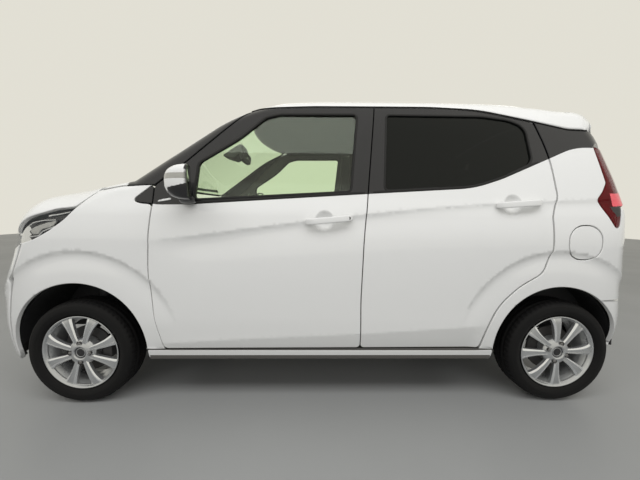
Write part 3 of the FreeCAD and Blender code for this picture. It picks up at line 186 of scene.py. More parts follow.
# A line drawn in a view, carried onto the body
def onBody(view, points, inset=0.0):
    points = np.asarray(points, float)
    flat = np.zeros((len(points), 3))
    flat[:, viewPlanes[view][0]] = points[:, 0]
    flat[:, viewPlanes[view][1]] = points[:, 1]
    return settle(flat, viewAxes[view], inset)


# Outline points (u, v) or (u, v, corner radius) as one dense line
def dense(points, spacing=0.012, closed=True):
    corners = []
    count = len(points)
    for i, point in enumerate(points):
        here = np.array(point[:2], float)
        radius = point[2] if len(point) > 2 else 0
        if not radius or (not closed and i in (0, count - 1)):
            corners.append([here])
            continue
        back = np.array(points[i - 1][:2]) - here
        ahead = np.array(points[(i + 1) % count][:2]) - here
        backLength = np.linalg.norm(back)
        aheadLength = np.linalg.norm(ahead)
        back = back / backLength
        ahead = ahead / aheadLength
        half = (math.pi - math.acos(np.clip(back @ ahead, -1, 1))) / 2
        if half < 0.01:
            corners.append([here])
            continue
        reach = min(radius * math.tan(half), 0.49 * min(backLength, aheadLength))
        radius = reach / math.tan(half)
        bisector = (back + ahead) / np.linalg.norm(back + ahead)
        centre = here + bisector * radius / math.cos(half)
        steps = max(2, int(2 * half * radius / spacing) + 1)
        turn = np.linspace(-half, half, steps + 1)
        across = (ahead - back) / np.linalg.norm(ahead - back)
        corners.append([centre + radius * (-bisector * math.cos(a) + across * math.sin(a)) for a in turn])
    line = []
    for i, corner in enumerate(corners):
        line.extend(corner)
        if not closed and i == count - 1:
            break
        end = corners[(i + 1) % count][0]
        steps = int(np.linalg.norm(end - corner[-1]) / spacing)
        line.extend(corner[-1] + (end - corner[-1]) * k / (steps + 1) for k in range(1, steps + 1))
    return np.array(line)


# Outlines drawn in a view and carried onto the body: a line with two ends, and a loop
def openLine(view, points, spacing=0.012):
    return onBody(view, dense(points, spacing, closed=False))


def closedLine(view, points, spacing=0.012):
    return onBody(view, dense(points, spacing))


def arc(centreX, centreZ, radius, startDeg, endDeg, count=24):
    turn = np.radians(np.linspace(startDeg, endDeg, count))
    return [(centreX + radius * math.cos(a), centreZ + radius * math.sin(a)) for a in turn]


def pointsInside(points, loops):
    within = np.zeros(len(points), bool)
    for loop in loops:
        ax, ay = loop.T
        bx, by = np.roll(loop, -1, 0).T
        rise = np.where(by == ay, nearZero, by - ay)
        crosses = (ay > points[:, 1:2]) != (by > points[:, 1:2])
        left = points[:, 0:1] < (bx - ax) * (points[:, 1:2] - ay) / rise + ax
        within ^= (np.count_nonzero(crosses & left, axis=1) % 2).astype(bool)
    return within


def distanceToLoops(points, loops):
    nearest = np.full(len(points), 9.0)
    for loop in loops:
        follower = np.roll(loop, -1, 0)
        run = follower - loop
        size = np.maximum((run ** 2).sum(1), nearZero)
        along = np.clip(((points[:, None, :] - loop) * run).sum(2) / size, 0, 1)
        gaps = np.linalg.norm(points[:, None, :] - loop - along[..., None] * run, axis=2)
        nearest = np.minimum(nearest, gaps.min(1))
    return nearest


# A closed loop moved sideways: positive distances go into an outline that is wound either way
def shrinkLoop(loop, distance):
    run = np.roll(loop, -1, 0) - np.roll(loop, 1, 0)
    run /= np.maximum(np.linalg.norm(run, axis=1, keepdims=True), 1e-9)
    area = (loop[:, 0] * np.roll(loop[:, 1], -1) - loop[:, 1] * np.roll(loop[:, 0], -1)).sum()
    inward = np.stack([-run[:, 1], run[:, 0]], 1) * np.sign(area)
    return loop + inward * distance


# Smooth line through a few places in space
def dense3(places, count=24):
    places = np.array(places, float)
    along = np.concatenate([[0], np.cumsum(np.linalg.norm(np.diff(places, axis=0), axis=1))])
    steps = np.linspace(0, along[-1], count)
    return np.stack([curve(np.stack([along, places[:, k]], 1), steps) for k in range(3)], 1)


# Meshes are dictionaries of arrays: points, triangles, material numbers and normals

def joinMeshes(meshes):
    offset = 0
    triangles = []
    for mesh in meshes:
        triangles.append(mesh["triangles"] + offset)
        offset += len(mesh["points"])
    return {
        "points": np.concatenate([mesh["points"] for mesh in meshes]),
        "normals": np.concatenate([mesh["normals"] for mesh in meshes]),
        "triangles": np.concatenate(triangles),
        "materials": np.concatenate([mesh["materials"] for mesh in meshes]),
    }


def mirrorMesh(mesh):
    flip = np.array([1, -1, 1])
    return {
        "points": mesh["points"] * flip, "normals": mesh["normals"] * flip,
        "triangles": mesh["triangles"][:, ::-1], "materials": mesh["materials"],
    }


# A piece of the left side together with its twin on the right
def bothSides(mesh):
    return joinMeshes([mesh, mirrorMesh(mesh)])


def faceNormals(points, triangles):
    a, b, c = (points[triangles[:, k]] for k in range(3))
    return np.cross(b - a, c - a)


def pointNormals(points, triangles):
    normals = np.zeros_like(points)
    for k in range(3):
        np.add.at(normals, triangles[:, k], faceNormals(points, triangles))
    return normals / np.maximum(np.linalg.norm(normals, axis=1, keepdims=True), nearZero)


# A rectangular grid of points as a mesh, closed around either way if asked
def gridMesh(points, closedU=False, closedV=False, material=0, flip=False):
    rows, columns = points.shape[:2]
    number = np.arange(rows * columns).reshape(rows, columns)
    rowEnd = rows if closedU else rows - 1
    columnEnd = columns if closedV else columns - 1
    a = number[:rowEnd, :columnEnd]
    b = np.roll(number, -1, 0)[:rowEnd, :columnEnd]
    c = np.roll(np.roll(number, -1, 0), -1, 1)[:rowEnd, :columnEnd]
    d = np.roll(number, -1, 1)[:rowEnd, :columnEnd]
    triangles = np.concatenate([np.stack([a, b, c], -1).reshape(-1, 3),
                                np.stack([a, c, d], -1).reshape(-1, 3)])
    flat = points.reshape(-1, 3)
    if flip:
        triangles = triangles[:, ::-1]
    return {"points": flat, "triangles": triangles, "normals": pointNormals(flat, triangles),
            "materials": np.full(len(triangles), material)}


def faceted(mesh, limitDeg=35):
    # Split points so that corners sharper than the limit stay crisp
    triangles = mesh["triangles"]
    points = mesh["points"][triangles].reshape(-1, 3)
    flat = faceNormals(mesh["points"], triangles)
    unit = flat / np.maximum(np.linalg.norm(flat, axis=1, keepdims=True), nearZero)
    order = np.lexsort(np.round(points, 6).T)
    same = np.any(np.abs(np.diff(points[order], axis=0)) > 2e-6, axis=1)
    group = np.empty(len(points), int)
    group[order] = np.concatenate([[0], np.cumsum(same)])
    owner = np.repeat(np.arange(len(triangles)), 3)
    members = np.argsort(group, kind="stable")
    starts = np.searchsorted(group[members], np.arange(group.max() + 2))
    normals = np.zeros_like(points)
    limit = math.cos(math.radians(limitDeg))
    for k in range(len(starts) - 1):
        corner = members[starts[k]:starts[k + 1]]
        near = unit[owner[corner]] @ unit[owner[corner]].T > limit
        normals[corner] = near @ flat[owner[corner]]
    normals /= np.maximum(np.linalg.norm(normals, axis=1, keepdims=True), nearZero)
    return {"points": points, "triangles": np.arange(len(points)).reshape(-1, 3), "normals": normals,
            "materials": mesh["materials"]}


def makeObject(name, mesh, materials, body, nodes=()):
    data = bpy.data.meshes.new(name)
    data.from_pydata(mesh["points"].tolist(), [], mesh["triangles"].tolist())
    for material in materials:
        data.materials.append(material)
    data.polygons.foreach_set("material_index", mesh["materials"].astype(np.int32))
    data.polygons.foreach_set("use_smooth", np.ones(len(data.polygons), bool))
    data.normals_split_custom_set_from_vertices(mesh["normals"].tolist())
    data.update()
    piece = bpy.data.objects.new(name, data)
    bpy.context.scene.collection.objects.link(piece)
    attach(piece, body)
    if nodes:
        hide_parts(*nodes)
    return piece


# A body panel: the outline loops lie on the body, the panel's mesh is drawn in the plane across
# the direction, its points settle on the body, and its edge turns inward over the thickness.
def bodyPanel(loops, direction, thickness=0.004, spacing=0.015, gap=None, inset=0.0, lines=(), extra=None,
              split=None, inward=None, edgeMaterial=0, backMaterial=0, lip=0.0018):
    gap = car["gap"] if gap is None else gap
    direction = np.array(direction, float) / np.linalg.norm(direction)
    helper = np.array([0, 0, 1.0]) if abs(direction[2]) < 0.9 else np.array([0, 1.0, 0])
    axisU = np.cross(direction, helper)
    axisU /= np.linalg.norm(axisU)
    if abs(axisU[0]) > 0.5 and axisU[0] < 0:
        axisU = -axisU
    axisV = np.cross(direction, axisU)
    if axisV[2] < -0.1 or (abs(axisV[2]) <= 0.1 and axisV[1] < 0):
        axisV = -axisV
    plane = np.stack([axisU, axisV], 1)
    flatLoops = []
    for i, loop in enumerate(loops):
        flat = loop @ plane
        flatLoops.append(shrinkLoop(flat, gap if i == 0 else -gap))
    rings = np.concatenate([shrinkLoop(loop, 0.0035 if i == 0 else -0.0035)
                            for i, loop in enumerate(flatLoops)])
    rings = rings[pointsInside(rings, flatLoops) & (distanceToLoops(rings, flatLoops) > 0.0027)]
    low = flatLoops[0].min(0)
    high = flatLoops[0].max(0)
    columns = np.arange(low[0], high[0] + spacing, spacing)
    rows = np.arange(low[1], high[1] + spacing, spacing * 0.87)
    gridU, gridV = np.meshgrid(columns, rows)
    gridU = gridU + (np.arange(len(rows)) % 2)[:, None] * spacing / 2
    inner = np.stack([gridU.ravel(), gridV.ravel()], 1)
    chains = [line @ plane for line in lines]
    keep = pointsInside(inner, flatLoops) & (distanceToLoops(inner, flatLoops) > spacing * 0.6)
    inner = inner[keep]
    if extra is not None:
        more = extra @ plane
        middle = more.mean(0)
        reach = np.linalg.norm(more - middle, axis=1).max()
        inner = inner[np.linalg.norm(inner - middle, axis=1) > reach + spacing * 0.4] if len(more) else inner
        inner = np.concatenate([inner, more[pointsInside(more, flatLoops)]])
    for chain in chains:
        steps = np.linalg.norm(inner[:, None, :] - chain[None, ::1, :], axis=2).min(1)
        inner = inner[steps > spacing * 0.45]
    vertices = []
    edges = []
    for loop in flatLoops:
        base = len(vertices)
        vertices.extend(map(tuple, loop))
        edges.extend((base + k, base + (k + 1) % len(loop)) for k in range(len(loop)))
    for chain in chains:
        base = len(vertices)
        vertices.extend(map(tuple, chain))
        edges.extend((base + k, base + k + 1) for k in range(len(chain) - 1))
    vertices.extend(map(tuple, rings))
    vertices.extend(map(tuple, inner))
    made, _, faces, *_ = delaunay_2d_cdt([Vector(v) for v in vertices], edges, [], 0, 1e-6)
    flat = np.array([tuple(v) for v in made])
    triangles = np.array([tuple(face) for face in faces if len(face) == 3])
    centres = flat[triangles].mean(1)
    triangles = triangles[pointsInside(centres, flatLoops)]
    used, triangles = np.unique(triangles, return_inverse=True)
    triangles = triangles.reshape(-1, 3)
    flat = flat[used]
    points = settle(flat @ plane.T, direction, inset)
    normals = fieldNormal(points)
    wrong = (faceNormals(points, triangles) * normals[triangles[:, 0]]).sum(1) < 0
    triangles[wrong] = triangles[wrong][:, ::-1]
    sides = np.concatenate([triangles[:, [0, 1]], triangles[:, [1, 2]], triangles[:, [2, 0]]])
    key = sides.min(1) * len(points) + sides.max(1)
    _, first, count = np.unique(key, return_index=True, return_counts=True)
    border = first[count == 1]
    start, end = sides[border].T
    run = points[end] - points[start]
    outward = np.cross(run, normals[start])
    outward /= np.maximum(np.linalg.norm(outward, axis=1, keepdims=True), 1e-9)
    edgeNormal = np.zeros_like(points)
    np.add.at(edgeNormal, start, outward)
    np.add.at(edgeNormal, end, outward)
    edge = np.unique(sides[border])
    edgeNormal[edge] /= np.maximum(np.linalg.norm(edgeNormal[edge], axis=1, keepdims=True), 1e-9)
    points[edge] -= normals[edge] * lip
    shown = normals.copy()
    shown[edge] = normals[edge] * 0.6 + edgeNormal[edge] * 0.8
    shown /= np.linalg.norm(shown, axis=1, keepdims=True)
    depth = thickness(points) if callable(thickness) else np.full(len(points), thickness)
    back = points + (normals * -1 if inward is None else np.array(inward, float)) * depth[:, None]
    materials = np.zeros(len(triangles), int)
    if split is not None:
        materials = split(points[triangles].mean(1)).astype(int)
    total = len(points)
    order = np.full(total, -1)
    order[edge] = np.arange(len(edge))
    rimTop = 2 * total + order
    rimFoot = 2 * total + len(edge) + order
    rim = np.concatenate([
        np.stack([rimTop[end], rimTop[start], rimFoot[start]], 1),
        np.stack([rimTop[end], rimFoot[start], rimFoot[end]], 1)])
    rimMaterials = np.full(len(rim), edgeMaterial)
    if split is not None and edgeMaterial == 0:
        rimMaterials = np.tile(split((points[start] + points[end]) / 2).astype(int), 2)
    return {
        "points": np.concatenate([points, back, points[edge], back[edge]]),
        "normals": np.concatenate([shown, -normals, edgeNormal[edge], edgeNormal[edge]]),
        "triangles": np.concatenate([triangles, triangles[:, ::-1] + total, rim]),
        "materials": np.concatenate([materials, np.full(len(triangles), backMaterial), rimMaterials]),
    }


# A round or flat bar along a line: the section is a list of (sideways, outward) points
def bar(line, section, outward, closed=False, material=0, taper=None):
    line = np.asarray(line, float)
    ahead = np.roll(line, -1, 0) - np.roll(line, 1, 0)
    if not closed:
        ahead[0] = line[1] - line[0]
        ahead[-1] = line[-1] - line[-2]
    ahead /= np.linalg.norm(ahead, axis=1, keepdims=True)
    outward = np.broadcast_to(np.asarray(outward, float), line.shape)
    across = np.cross(ahead, outward)
    across /= np.linalg.norm(across, axis=1, keepdims=True)
    up = np.cross(across, ahead)
    section = np.asarray(section, float)
    scale = np.ones(len(line)) if taper is None else np.asarray(taper, float)
    points = (line[:, None, :] + scale[:, None, None] * (across[:, None, :] * section[None, :, 0:1]
              + up[:, None, :] * section[None, :, 1:2]))
    mesh = gridMesh(points, closedU=closed, closedV=True, material=material)
    if not closed:
        caps = []
        for row, turned in ((0, False), (-1, True)):
            ring = points[row]
            fan = np.array([[0, k, k + 1] for k in range(1, len(ring) - 1)])
            if turned:
                fan = fan[:, ::-1]
            caps.append({"points": ring, "triangles": fan, "normals": pointNormals(ring, fan),
                         "materials": np.full(len(fan), material)})
        mesh = joinMeshes([mesh] + caps)
    middle = mesh["points"][mesh["triangles"]].mean(1)
    nearest = np.argmin(np.linalg.norm(middle[::7, None, :] - line[None], axis=2), 1)
    facing = (faceNormals(mesh["points"], mesh["triangles"])[::7] * (middle[::7] - line[nearest])).sum()
    if facing < 0:
        mesh["triangles"] = mesh["triangles"][:, ::-1]
        mesh["normals"] = -mesh["normals"]
    return mesh


def ringSection(radius, count=10, flat=1.0):
    turn = np.linspace(0, 2 * math.pi, count, endpoint=False)
    return [(radius * math.cos(a), radius * flat * math.sin(a)) for a in turn]


# An outline of (radius, height) turned about an axis through the centre
def lathe(profile, centre, axis=(0, -1, 0), segments=64, material=0, closed=False):
    axis = np.array(axis, float) / np.linalg.norm(axis)
    helper = np.array([0, 0, 1.0]) if abs(axis[2]) < 0.9 else np.array([1.0, 0, 0])
    first = np.cross(axis, helper)
    first /= np.linalg.norm(first)
    second = np.cross(axis, first)
    turn = np.linspace(0, 2 * math.pi, segments, endpoint=False)
    around = np.cos(turn)[:, None] * first + np.sin(turn)[:, None] * second
    profile = np.asarray(profile, float)
    points = (np.asarray(centre, float) + around[:, None, :] * profile[None, :, 0:1]
              + axis * profile[None, :, 1:2])
    return gridMesh(points, closedU=True, closedV=closed, material=material, flip=True)


# A pillow-like block: sizes are half lengths, power 2 is an ellipsoid and larger powers are boxier
def pillow(centre, half, power=4.0, material=0, rows=24, columns=40, lean=0.0):
    latitude = np.linspace(-math.pi / 2, math.pi / 2, rows)
    longitude = np.linspace(-math.pi, math.pi, columns, endpoint=False)
    lat, lon = np.meshgrid(latitude, longitude, indexing="ij")
    bend = 2.0 / power
    shaped = lambda v, p: np.sign(v) * np.abs(v) ** p
    x = shaped(np.cos(lat), bend) * shaped(np.cos(lon), bend) * half[0]
    y = shaped(np.cos(lat), bend) * shaped(np.sin(lon), bend) * half[1]
    z = shaped(np.sin(lat), bend) * half[2]
    points = np.stack([x, y, z], -1)
    tilt = math.radians(lean)
    leaned = points.copy()
    leaned[..., 0] = points[..., 0] * math.cos(tilt) + points[..., 2] * math.sin(tilt)
    leaned[..., 2] = -points[..., 0] * math.sin(tilt) + points[..., 2] * math.cos(tilt)
    return gridMesh(leaned + np.asarray(centre), closedV=True, material=material, flip=True)


# Materials: one node group gives every surface its fine colour, roughness and height changes

def detailGroup():
    group = bpy.data.node_groups.new("fineDetail", "ShaderNodeTree")
    interface = group.interface
    for name, kind, value in (
            ("Colour", "NodeSocketColor", (0.5, 0.5, 0.5, 1)),
            ("Second", "NodeSocketColor", (0.4, 0.4, 0.4, 1)), ("Scale", "NodeSocketFloat", 40.0),
            ("RoughLow", "NodeSocketFloat", 0.3), ("RoughHigh", "NodeSocketFloat", 0.4),
            ("Height", "NodeSocketFloat", 0.1), ("Grain", "NodeSocketFloat", 400.0)):
        socket = interface.new_socket(name, in_out="INPUT", socket_type=kind)
        socket.default_value = value
    for name, kind in (("Base", "NodeSocketColor"), ("Rough", "NodeSocketFloat"),
                       ("Normal", "NodeSocketVector")):
        interface.new_socket(name, in_out="OUTPUT", socket_type=kind)
    nodes = group.nodes
    links = group.links
    entry = nodes.new("NodeGroupInput")
    leave = nodes.new("NodeGroupOutput")
    place = nodes.new("ShaderNodeTexCoord")
    broad = nodes.new("ShaderNodeTexNoise")
    broad.inputs["Detail"].default_value = 5
    fine = nodes.new("ShaderNodeTexNoise")
    fine.inputs["Detail"].default_value = 2
    mix = nodes.new("ShaderNodeMix")
    mix.data_type = "RGBA"
    rough = nodes.new("ShaderNodeMapRange")
    bump = nodes.new("ShaderNodeBump")
    bump.inputs["Distance"].default_value = 0.001
    links.new(place.outputs["Object"], broad.inputs["Vector"])
    links.new(place.outputs["Object"], fine.inputs["Vector"])
    links.new(entry.outputs["Scale"], broad.inputs["Scale"])
    links.new(entry.outputs["Grain"], fine.inputs["Scale"])
    links.new(broad.outputs["Fac"], mix.inputs["Factor"])
    links.new(entry.outputs["Colour"], mix.inputs["A"])
    links.new(entry.outputs["Second"], mix.inputs["B"])
    links.new(broad.outputs["Fac"], rough.inputs["Value"])
    links.new(entry.outputs["RoughLow"], rough.inputs["To Min"])
    links.new(entry.outputs["RoughHigh"], rough.inputs["To Max"])
    links.new(fine.outputs["Fac"], bump.inputs["Height"])
    links.new(entry.outputs["Height"], bump.inputs["Strength"])
    links.new(mix.outputs["Result"], leave.inputs["Base"])
    links.new(rough.outputs["Result"], leave.inputs["Rough"])
    links.new(bump.outputs["Normal"], leave.inputs["Normal"])
    return group


fineDetail = detailGroup()

# name: colour, second colour, low and high roughness, then what differs from a plain dielectric
finishes = {
    "bodyPaint": {
        "colour": (0.85, 0.85, 0.835), "second": (0.845, 0.845, 0.83), "rough": (0.20, 0.24), "coat": 1.0,
        "grain": 900, "height": 0.0},
    "blackFilm": {
        "colour": (0.012, 0.012, 0.014), "second": (0.016, 0.016, 0.018), "rough": (0.20, 0.28), "coat": 0.5,
        "grain": 700, "height": 0.02},
    "rubber": {
        "colour": (0.012, 0.012, 0.012), "second": (0.018, 0.018, 0.018), "rough": (0.55, 0.7), "grain": 600,
        "height": 0.15},
    "blackPlastic": {
        "colour": (0.018, 0.018, 0.019), "second": (0.026, 0.026, 0.027), "rough": (0.45, 0.6), "grain": 1400,
        "height": 0.35},
    "tyreRubber": {
        "colour": (0.008, 0.008, 0.0085), "second": (0.014, 0.0135, 0.013), "rough": (0.5, 0.65),
        "grain": 500, "height": 0.3, "bending": 1.24},
    "alloy": {
        "colour": (0.60, 0.61, 0.62), "second": (0.55, 0.56, 0.57), "rough": (0.24, 0.33), "metallic": 0.8,
        "coat": 0.6, "grain": 1500, "height": 0.04},
    "alloyBright": {
        "colour": (0.86, 0.87, 0.88), "second": (0.82, 0.83, 0.84), "rough": (0.14, 0.2), "metallic": 0.75,
        "coat": 0.7, "grain": 1500, "height": 0.02},
    "chrome": {
        "colour": (0.82, 0.83, 0.85), "second": (0.78, 0.79, 0.80), "rough": (0.05, 0.1), "metallic": 1.0,
        "grain": 900, "height": 0.0},
    "reflectorGrey": {
        "colour": (0.42, 0.42, 0.40), "second": (0.52, 0.52, 0.50), "rough": (0.18, 0.3), "metallic": 0.6,
        "coat": 0.5, "grain": 260, "height": 0.5, "scale": 40},
    "steel": {
        "colour": (0.34, 0.34, 0.35), "second": (0.26, 0.25, 0.24), "rough": (0.35, 0.55), "metallic": 0.9,
        "grain": 800, "height": 0.15},
    "castIron": {
        "colour": (0.10, 0.10, 0.105), "second": (0.07, 0.065, 0.06), "rough": (0.5, 0.75), "metallic": 0.5,
        "grain": 500, "height": 0.5},
    "structure": {
        "colour": (0.035, 0.035, 0.037), "second": (0.05, 0.05, 0.052), "rough": (0.5, 0.7), "grain": 300,
        "height": 0.2},
    "cabinPlastic": {
        "colour": (0.040, 0.038, 0.036), "second": (0.05, 0.048, 0.045), "rough": (0.5, 0.65), "grain": 1300,
        "height": 0.4},
    "lining": {
        "colour": (0.10, 0.095, 0.09), "second": (0.12, 0.115, 0.105), "rough": (0.7, 0.85), "grain": 1200,
        "height": 0.3},
    "headLining": {
        "colour": (0.05, 0.05, 0.05), "second": (0.062, 0.062, 0.06), "rough": (0.85, 0.95), "grain": 1500,
        "height": 0.5},
    "tailRed": {
        "colour": (0.16, 0.002, 0.004), "second": (0.20, 0.004, 0.006), "rough": (0.3, 0.4), "grain": 500,
        "height": 0.05},
    "redBlock": {
        "colour": (0.80, 0.06, 0.09), "second": (0.95, 0.16, 0.19), "rough": (0.2, 0.3), "coat": 0.5,
        "grain": 260, "height": 0.6, "scale": 120},
    "lampBlack": {
        "colour": (0.01, 0.01, 0.011), "second": (0.014, 0.014, 0.015), "rough": (0.18, 0.28), "coat": 0.5,
        "grain": 400, "height": 0.05},
    "trimRed": {
        "colour": (0.26, 0.006, 0.010), "second": (0.32, 0.010, 0.014), "rough": (0.10, 0.16), "coat": 1.0,
        "grain": 300, "height": 0.3},
}


def finishMaterial(name, colour, second, rough, coat=0.0, metallic=0.0, grain=400, height=0.1, scale=9.0,
                   alpha=1.0, bending=1.45):
    material = bpy.data.materials.new(name)
    material.use_nodes = True
    tree = material.node_tree
    shader = tree.nodes["Principled BSDF"]
    detail = tree.nodes.new("ShaderNodeGroup")
    detail.node_tree = fineDetail
    detail.inputs["Colour"].default_value = (*colour, 1)
    detail.inputs["Second"].default_value = (*second, 1)
    detail.inputs["Scale"].default_value = scale
    detail.inputs["Grain"].default_value = grain
    detail.inputs["RoughLow"].default_value = rough[0]
    detail.inputs["RoughHigh"].default_value = rough[1]
    detail.inputs["Height"].default_value = height
    tree.links.new(detail.outputs["Base"], shader.inputs["Base Color"])
    tree.links.new(detail.outputs["Rough"], shader.inputs["Roughness"])
    tree.links.new(detail.outputs["Normal"], shader.inputs["Normal"])
    shader.inputs["Metallic"].default_value = metallic
    shader.inputs["Coat Weight"].default_value = coat
    shader.inputs["Coat Roughness"].default_value = 0.04
    shader.inputs["Alpha"].default_value = alpha
    shader.inputs["IOR"].default_value = bending
    material.diffuse_color = (*colour, alpha)
    return material


finish = {name: finishMaterial(name, **settings) for name, settings in finishes.items()}


def glassMaterial(name, colour, alpha=1.0, bending=1.45, clear=0.0):
    material = finishMaterial(name, colour, colour, (0.02, 0.03), grain=60, height=0.0, alpha=alpha,
                              bending=bending)
    shader = material.node_tree.nodes["Principled BSDF"]
    shader.inputs["Transmission Weight"].default_value = clear
    if clear:
        tree = material.node_tree
        tree.links.remove(shader.inputs["Roughness"].links[0])
        shader.inputs["Roughness"].default_value = 0.0
    return material


finish["greenGlass"] = glassMaterial("greenGlass", (0.86, 0.97, 0.80), clear=1.0)
finish["privacyGlass"] = glassMaterial("privacyGlass", (0.006, 0.007, 0.006), 0.92, bending=1.33)
finish["clearLens"] = glassMaterial("clearLens", (0.30, 0.31, 0.32), 0.05, bending=1.38)
finish["redLens"] = glassMaterial("redLens", (0.16, 0.002, 0.005), 0.50, bending=1.38)


# Woven cloth: two crossing rows of threads lift the surface and shade the gaps between them
def weaveGroup():
    group = bpy.data.node_groups.new("clothWeave", "ShaderNodeTree")
    interface = group.interface
    for name, kind, value in (("Thread", "NodeSocketColor", (0.08, 0.08, 0.08, 1)),
                              ("Gap", "NodeSocketColor", (0.03, 0.03, 0.03, 1)),
                              ("Scale", "NodeSocketFloat", 190.0)):
        socket = interface.new_socket(name, in_out="INPUT", socket_type=kind)
        socket.default_value = value
    for name, kind in (("Base", "NodeSocketColor"), ("Normal", "NodeSocketVector")):
        interface.new_socket(name, in_out="OUTPUT", socket_type=kind)
    nodes = group.nodes
    links = group.links
    entry = nodes.new("NodeGroupInput")
    leave = nodes.new("NodeGroupOutput")
    place = nodes.new("ShaderNodeTexCoord")
    over = nodes.new("ShaderNodeMath")
    over.operation = "MAXIMUM"
    for number, way in enumerate(("X", "Y")):
        wave = nodes.new("ShaderNodeTexWave")
        wave.bands_direction = way
        wave.inputs["Distortion"].default_value = 0.6
        links.new(place.outputs["Object"], wave.inputs["Vector"])
        links.new(entry.outputs["Scale"], wave.inputs["Scale"])
        links.new(wave.outputs["Fac"], over.inputs[number])
    mix = nodes.new("ShaderNodeMix")
    mix.data_type = "RGBA"
    bump = nodes.new("ShaderNodeBump")
    bump.inputs["Strength"].default_value = 0.6
    bump.inputs["Distance"].default_value = 0.0006
    links.new(over.outputs["Value"], mix.inputs["Factor"])
    links.new(entry.outputs["Gap"], mix.inputs["A"])
    links.new(entry.outputs["Thread"], mix.inputs["B"])
    links.new(over.outputs["Value"], bump.inputs["Height"])
    links.new(mix.outputs["Result"], leave.inputs["Base"])
    links.new(bump.outputs["Normal"], leave.inputs["Normal"])
    return group


def clothMaterial(name, thread, gap, weave):
    material = bpy.data.materials.new(name)
    material.use_nodes = True
    tree = material.node_tree
    shader = tree.nodes["Principled BSDF"]
    detail = tree.nodes.new("ShaderNodeGroup")
    detail.node_tree = weave
    detail.inputs["Thread"].default_value = (*thread, 1)
    detail.inputs["Gap"].default_value = (*gap, 1)
    tree.links.new(detail.outputs["Base"], shader.inputs["Base Color"])
    tree.links.new(detail.outputs["Normal"], shader.inputs["Normal"])
    shader.inputs["Roughness"].default_value = 0.9
    shader.inputs["Sheen Weight"].default_value = 0.3
    return material


finish["seatCloth"] = clothMaterial("seatCloth", (0.085, 0.080, 0.074), (0.030, 0.028, 0.026), weaveGroup())
print("materials made", len(finish))

# Outlines from the side, in metres: x, z, corner radius
frontDoorOutline = [
    (-0.762, 0.298, 0.03), (-0.800, 0.450, 0.5), (-0.8205, 0.680, 1.2), (-0.810, 0.880, 1.0),
    (-0.792, 1.037, 0.4), (-0.790, 1.128, 0.03), (-0.640, 1.252, 0.6), (-0.358, 1.508, 0.09),
    (-0.300, 1.538, 0.08), (0.0, 1.550, 2.0), (0.3165, 1.5535), (0.281, 1.169, 2.0), (0.254, 0.867, 2.0),
    (0.243, 0.560, 2.0), (0.2465, 0.298, 0.02),
]
rearDoorOutline = [
    (0.2465, 0.298, 0.02), (0.243, 0.560, 2.0), (0.254, 0.867, 2.0), (0.281, 1.169, 2.0), (0.3165, 1.5535),
    (0.60, 1.5535, 2.0), (0.86, 1.541, 1.0), (1.148, 1.478, 0.03), (1.214, 1.290, 0.8), (1.234, 1.090, 0.10),
    (1.203, 0.985, 0.06), (1.208, 0.820, 0.14), (1.165, 0.700, 0.10), (1.05, 0.632, 0.4), (0.945, 0.530, 0.4),
    (0.893, 0.405, 0.5), (0.868, 0.298, 0.02),
]
frontWindowOutline = [
    (-0.590, 1.062, 0.02), (-0.577, 1.245, 0.04), (-0.372, 1.375, 0.6), (-0.250, 1.486, 0.07),
    (-0.175, 1.506, 0.06), (0.224, 1.510, 0.02), (0.186, 1.107, 0.02),
]
rearWindowOutline = [
    (0.378, 1.510, 0.02), (0.358, 1.112, 0.02), (0.595, 1.126, 0.6), (0.813, 1.136, 0.5),
    (0.950, 1.180, 0.4), (1.122, 1.262, 0.05), (1.100, 1.452, 0.10), (1.020, 1.488, 0.20),
    (0.880, 1.508, 0.5),
]
beltLine = [
    (-0.90, 1.050), (-0.878, 1.048, 0.02), (-0.760, 1.034, 0.15), (-0.605, 1.036, 0.4), (0.272, 1.094, 1.0),
    (0.813, 1.127, 0.8), (0.960, 1.176, 0.5), (1.225, 1.290, 0.4), (1.345, 1.343, 0.3), (1.47, 1.344),
]
hoodEdge = [
    (-1.0795, 1.104), (-1.085, 1.095, 0.02), (-1.163, 1.017, 0.03), (-1.258, 1.008, 0.12),
    (-1.4025, 0.955, 0.10), (-1.5275, 0.876, 0.10), (-1.600, 0.874),
]
roofEdge = [
    (-0.340, 1.529), (-0.300, 1.541, 0.08), (0.0, 1.553, 2.0), (0.60, 1.5565, 2.0), (0.86, 1.544, 1.0),
    (1.148, 1.481, 0.2), (1.330, 1.440, 0.2), (1.452, 1.436),
]
bumperRear = [(1.592, 0.291), (1.632, 0.400, 0.1), (1.624, 0.640, 0.2), (1.595, 0.829)]
bumperFront = [(-1.5625, 0.207), (-1.522, 0.595, 0.3), (-1.499, 0.687, 0.2), (-1.4295, 0.842)]
lampLower = [(-1.163, 1.017), (-1.212, 0.963, 0.3), (-1.290, 0.904, 0.4), (-1.373, 0.858, 0.3),
             (-1.4295, 0.842)]

handlePoints = {}
for cupX, cupZ in handleCups:
    rings = [np.array([[cupX, cupZ]])]
    for k in range(1, 11):
        radius = 0.0058 * k
        turn = np.linspace(0, 2 * math.pi, 6 + 5 * k, endpoint=False)
        rings.append(np.stack([cupX + radius / 1.12 * np.cos(turn), cupZ + radius * np.sin(turn)], 1))
    flat = np.concatenate(rings)
    handlePoints[cupX] = np.stack([flat[:, 0], np.zeros(len(flat)), flat[:, 1]], 1)


def aboveBelt(centres):
    belt = dense(beltLine, 0.01, closed=False)
    return centres[:, 2] > np.interp(centres[:, 0], belt[:, 0], belt[:, 1])


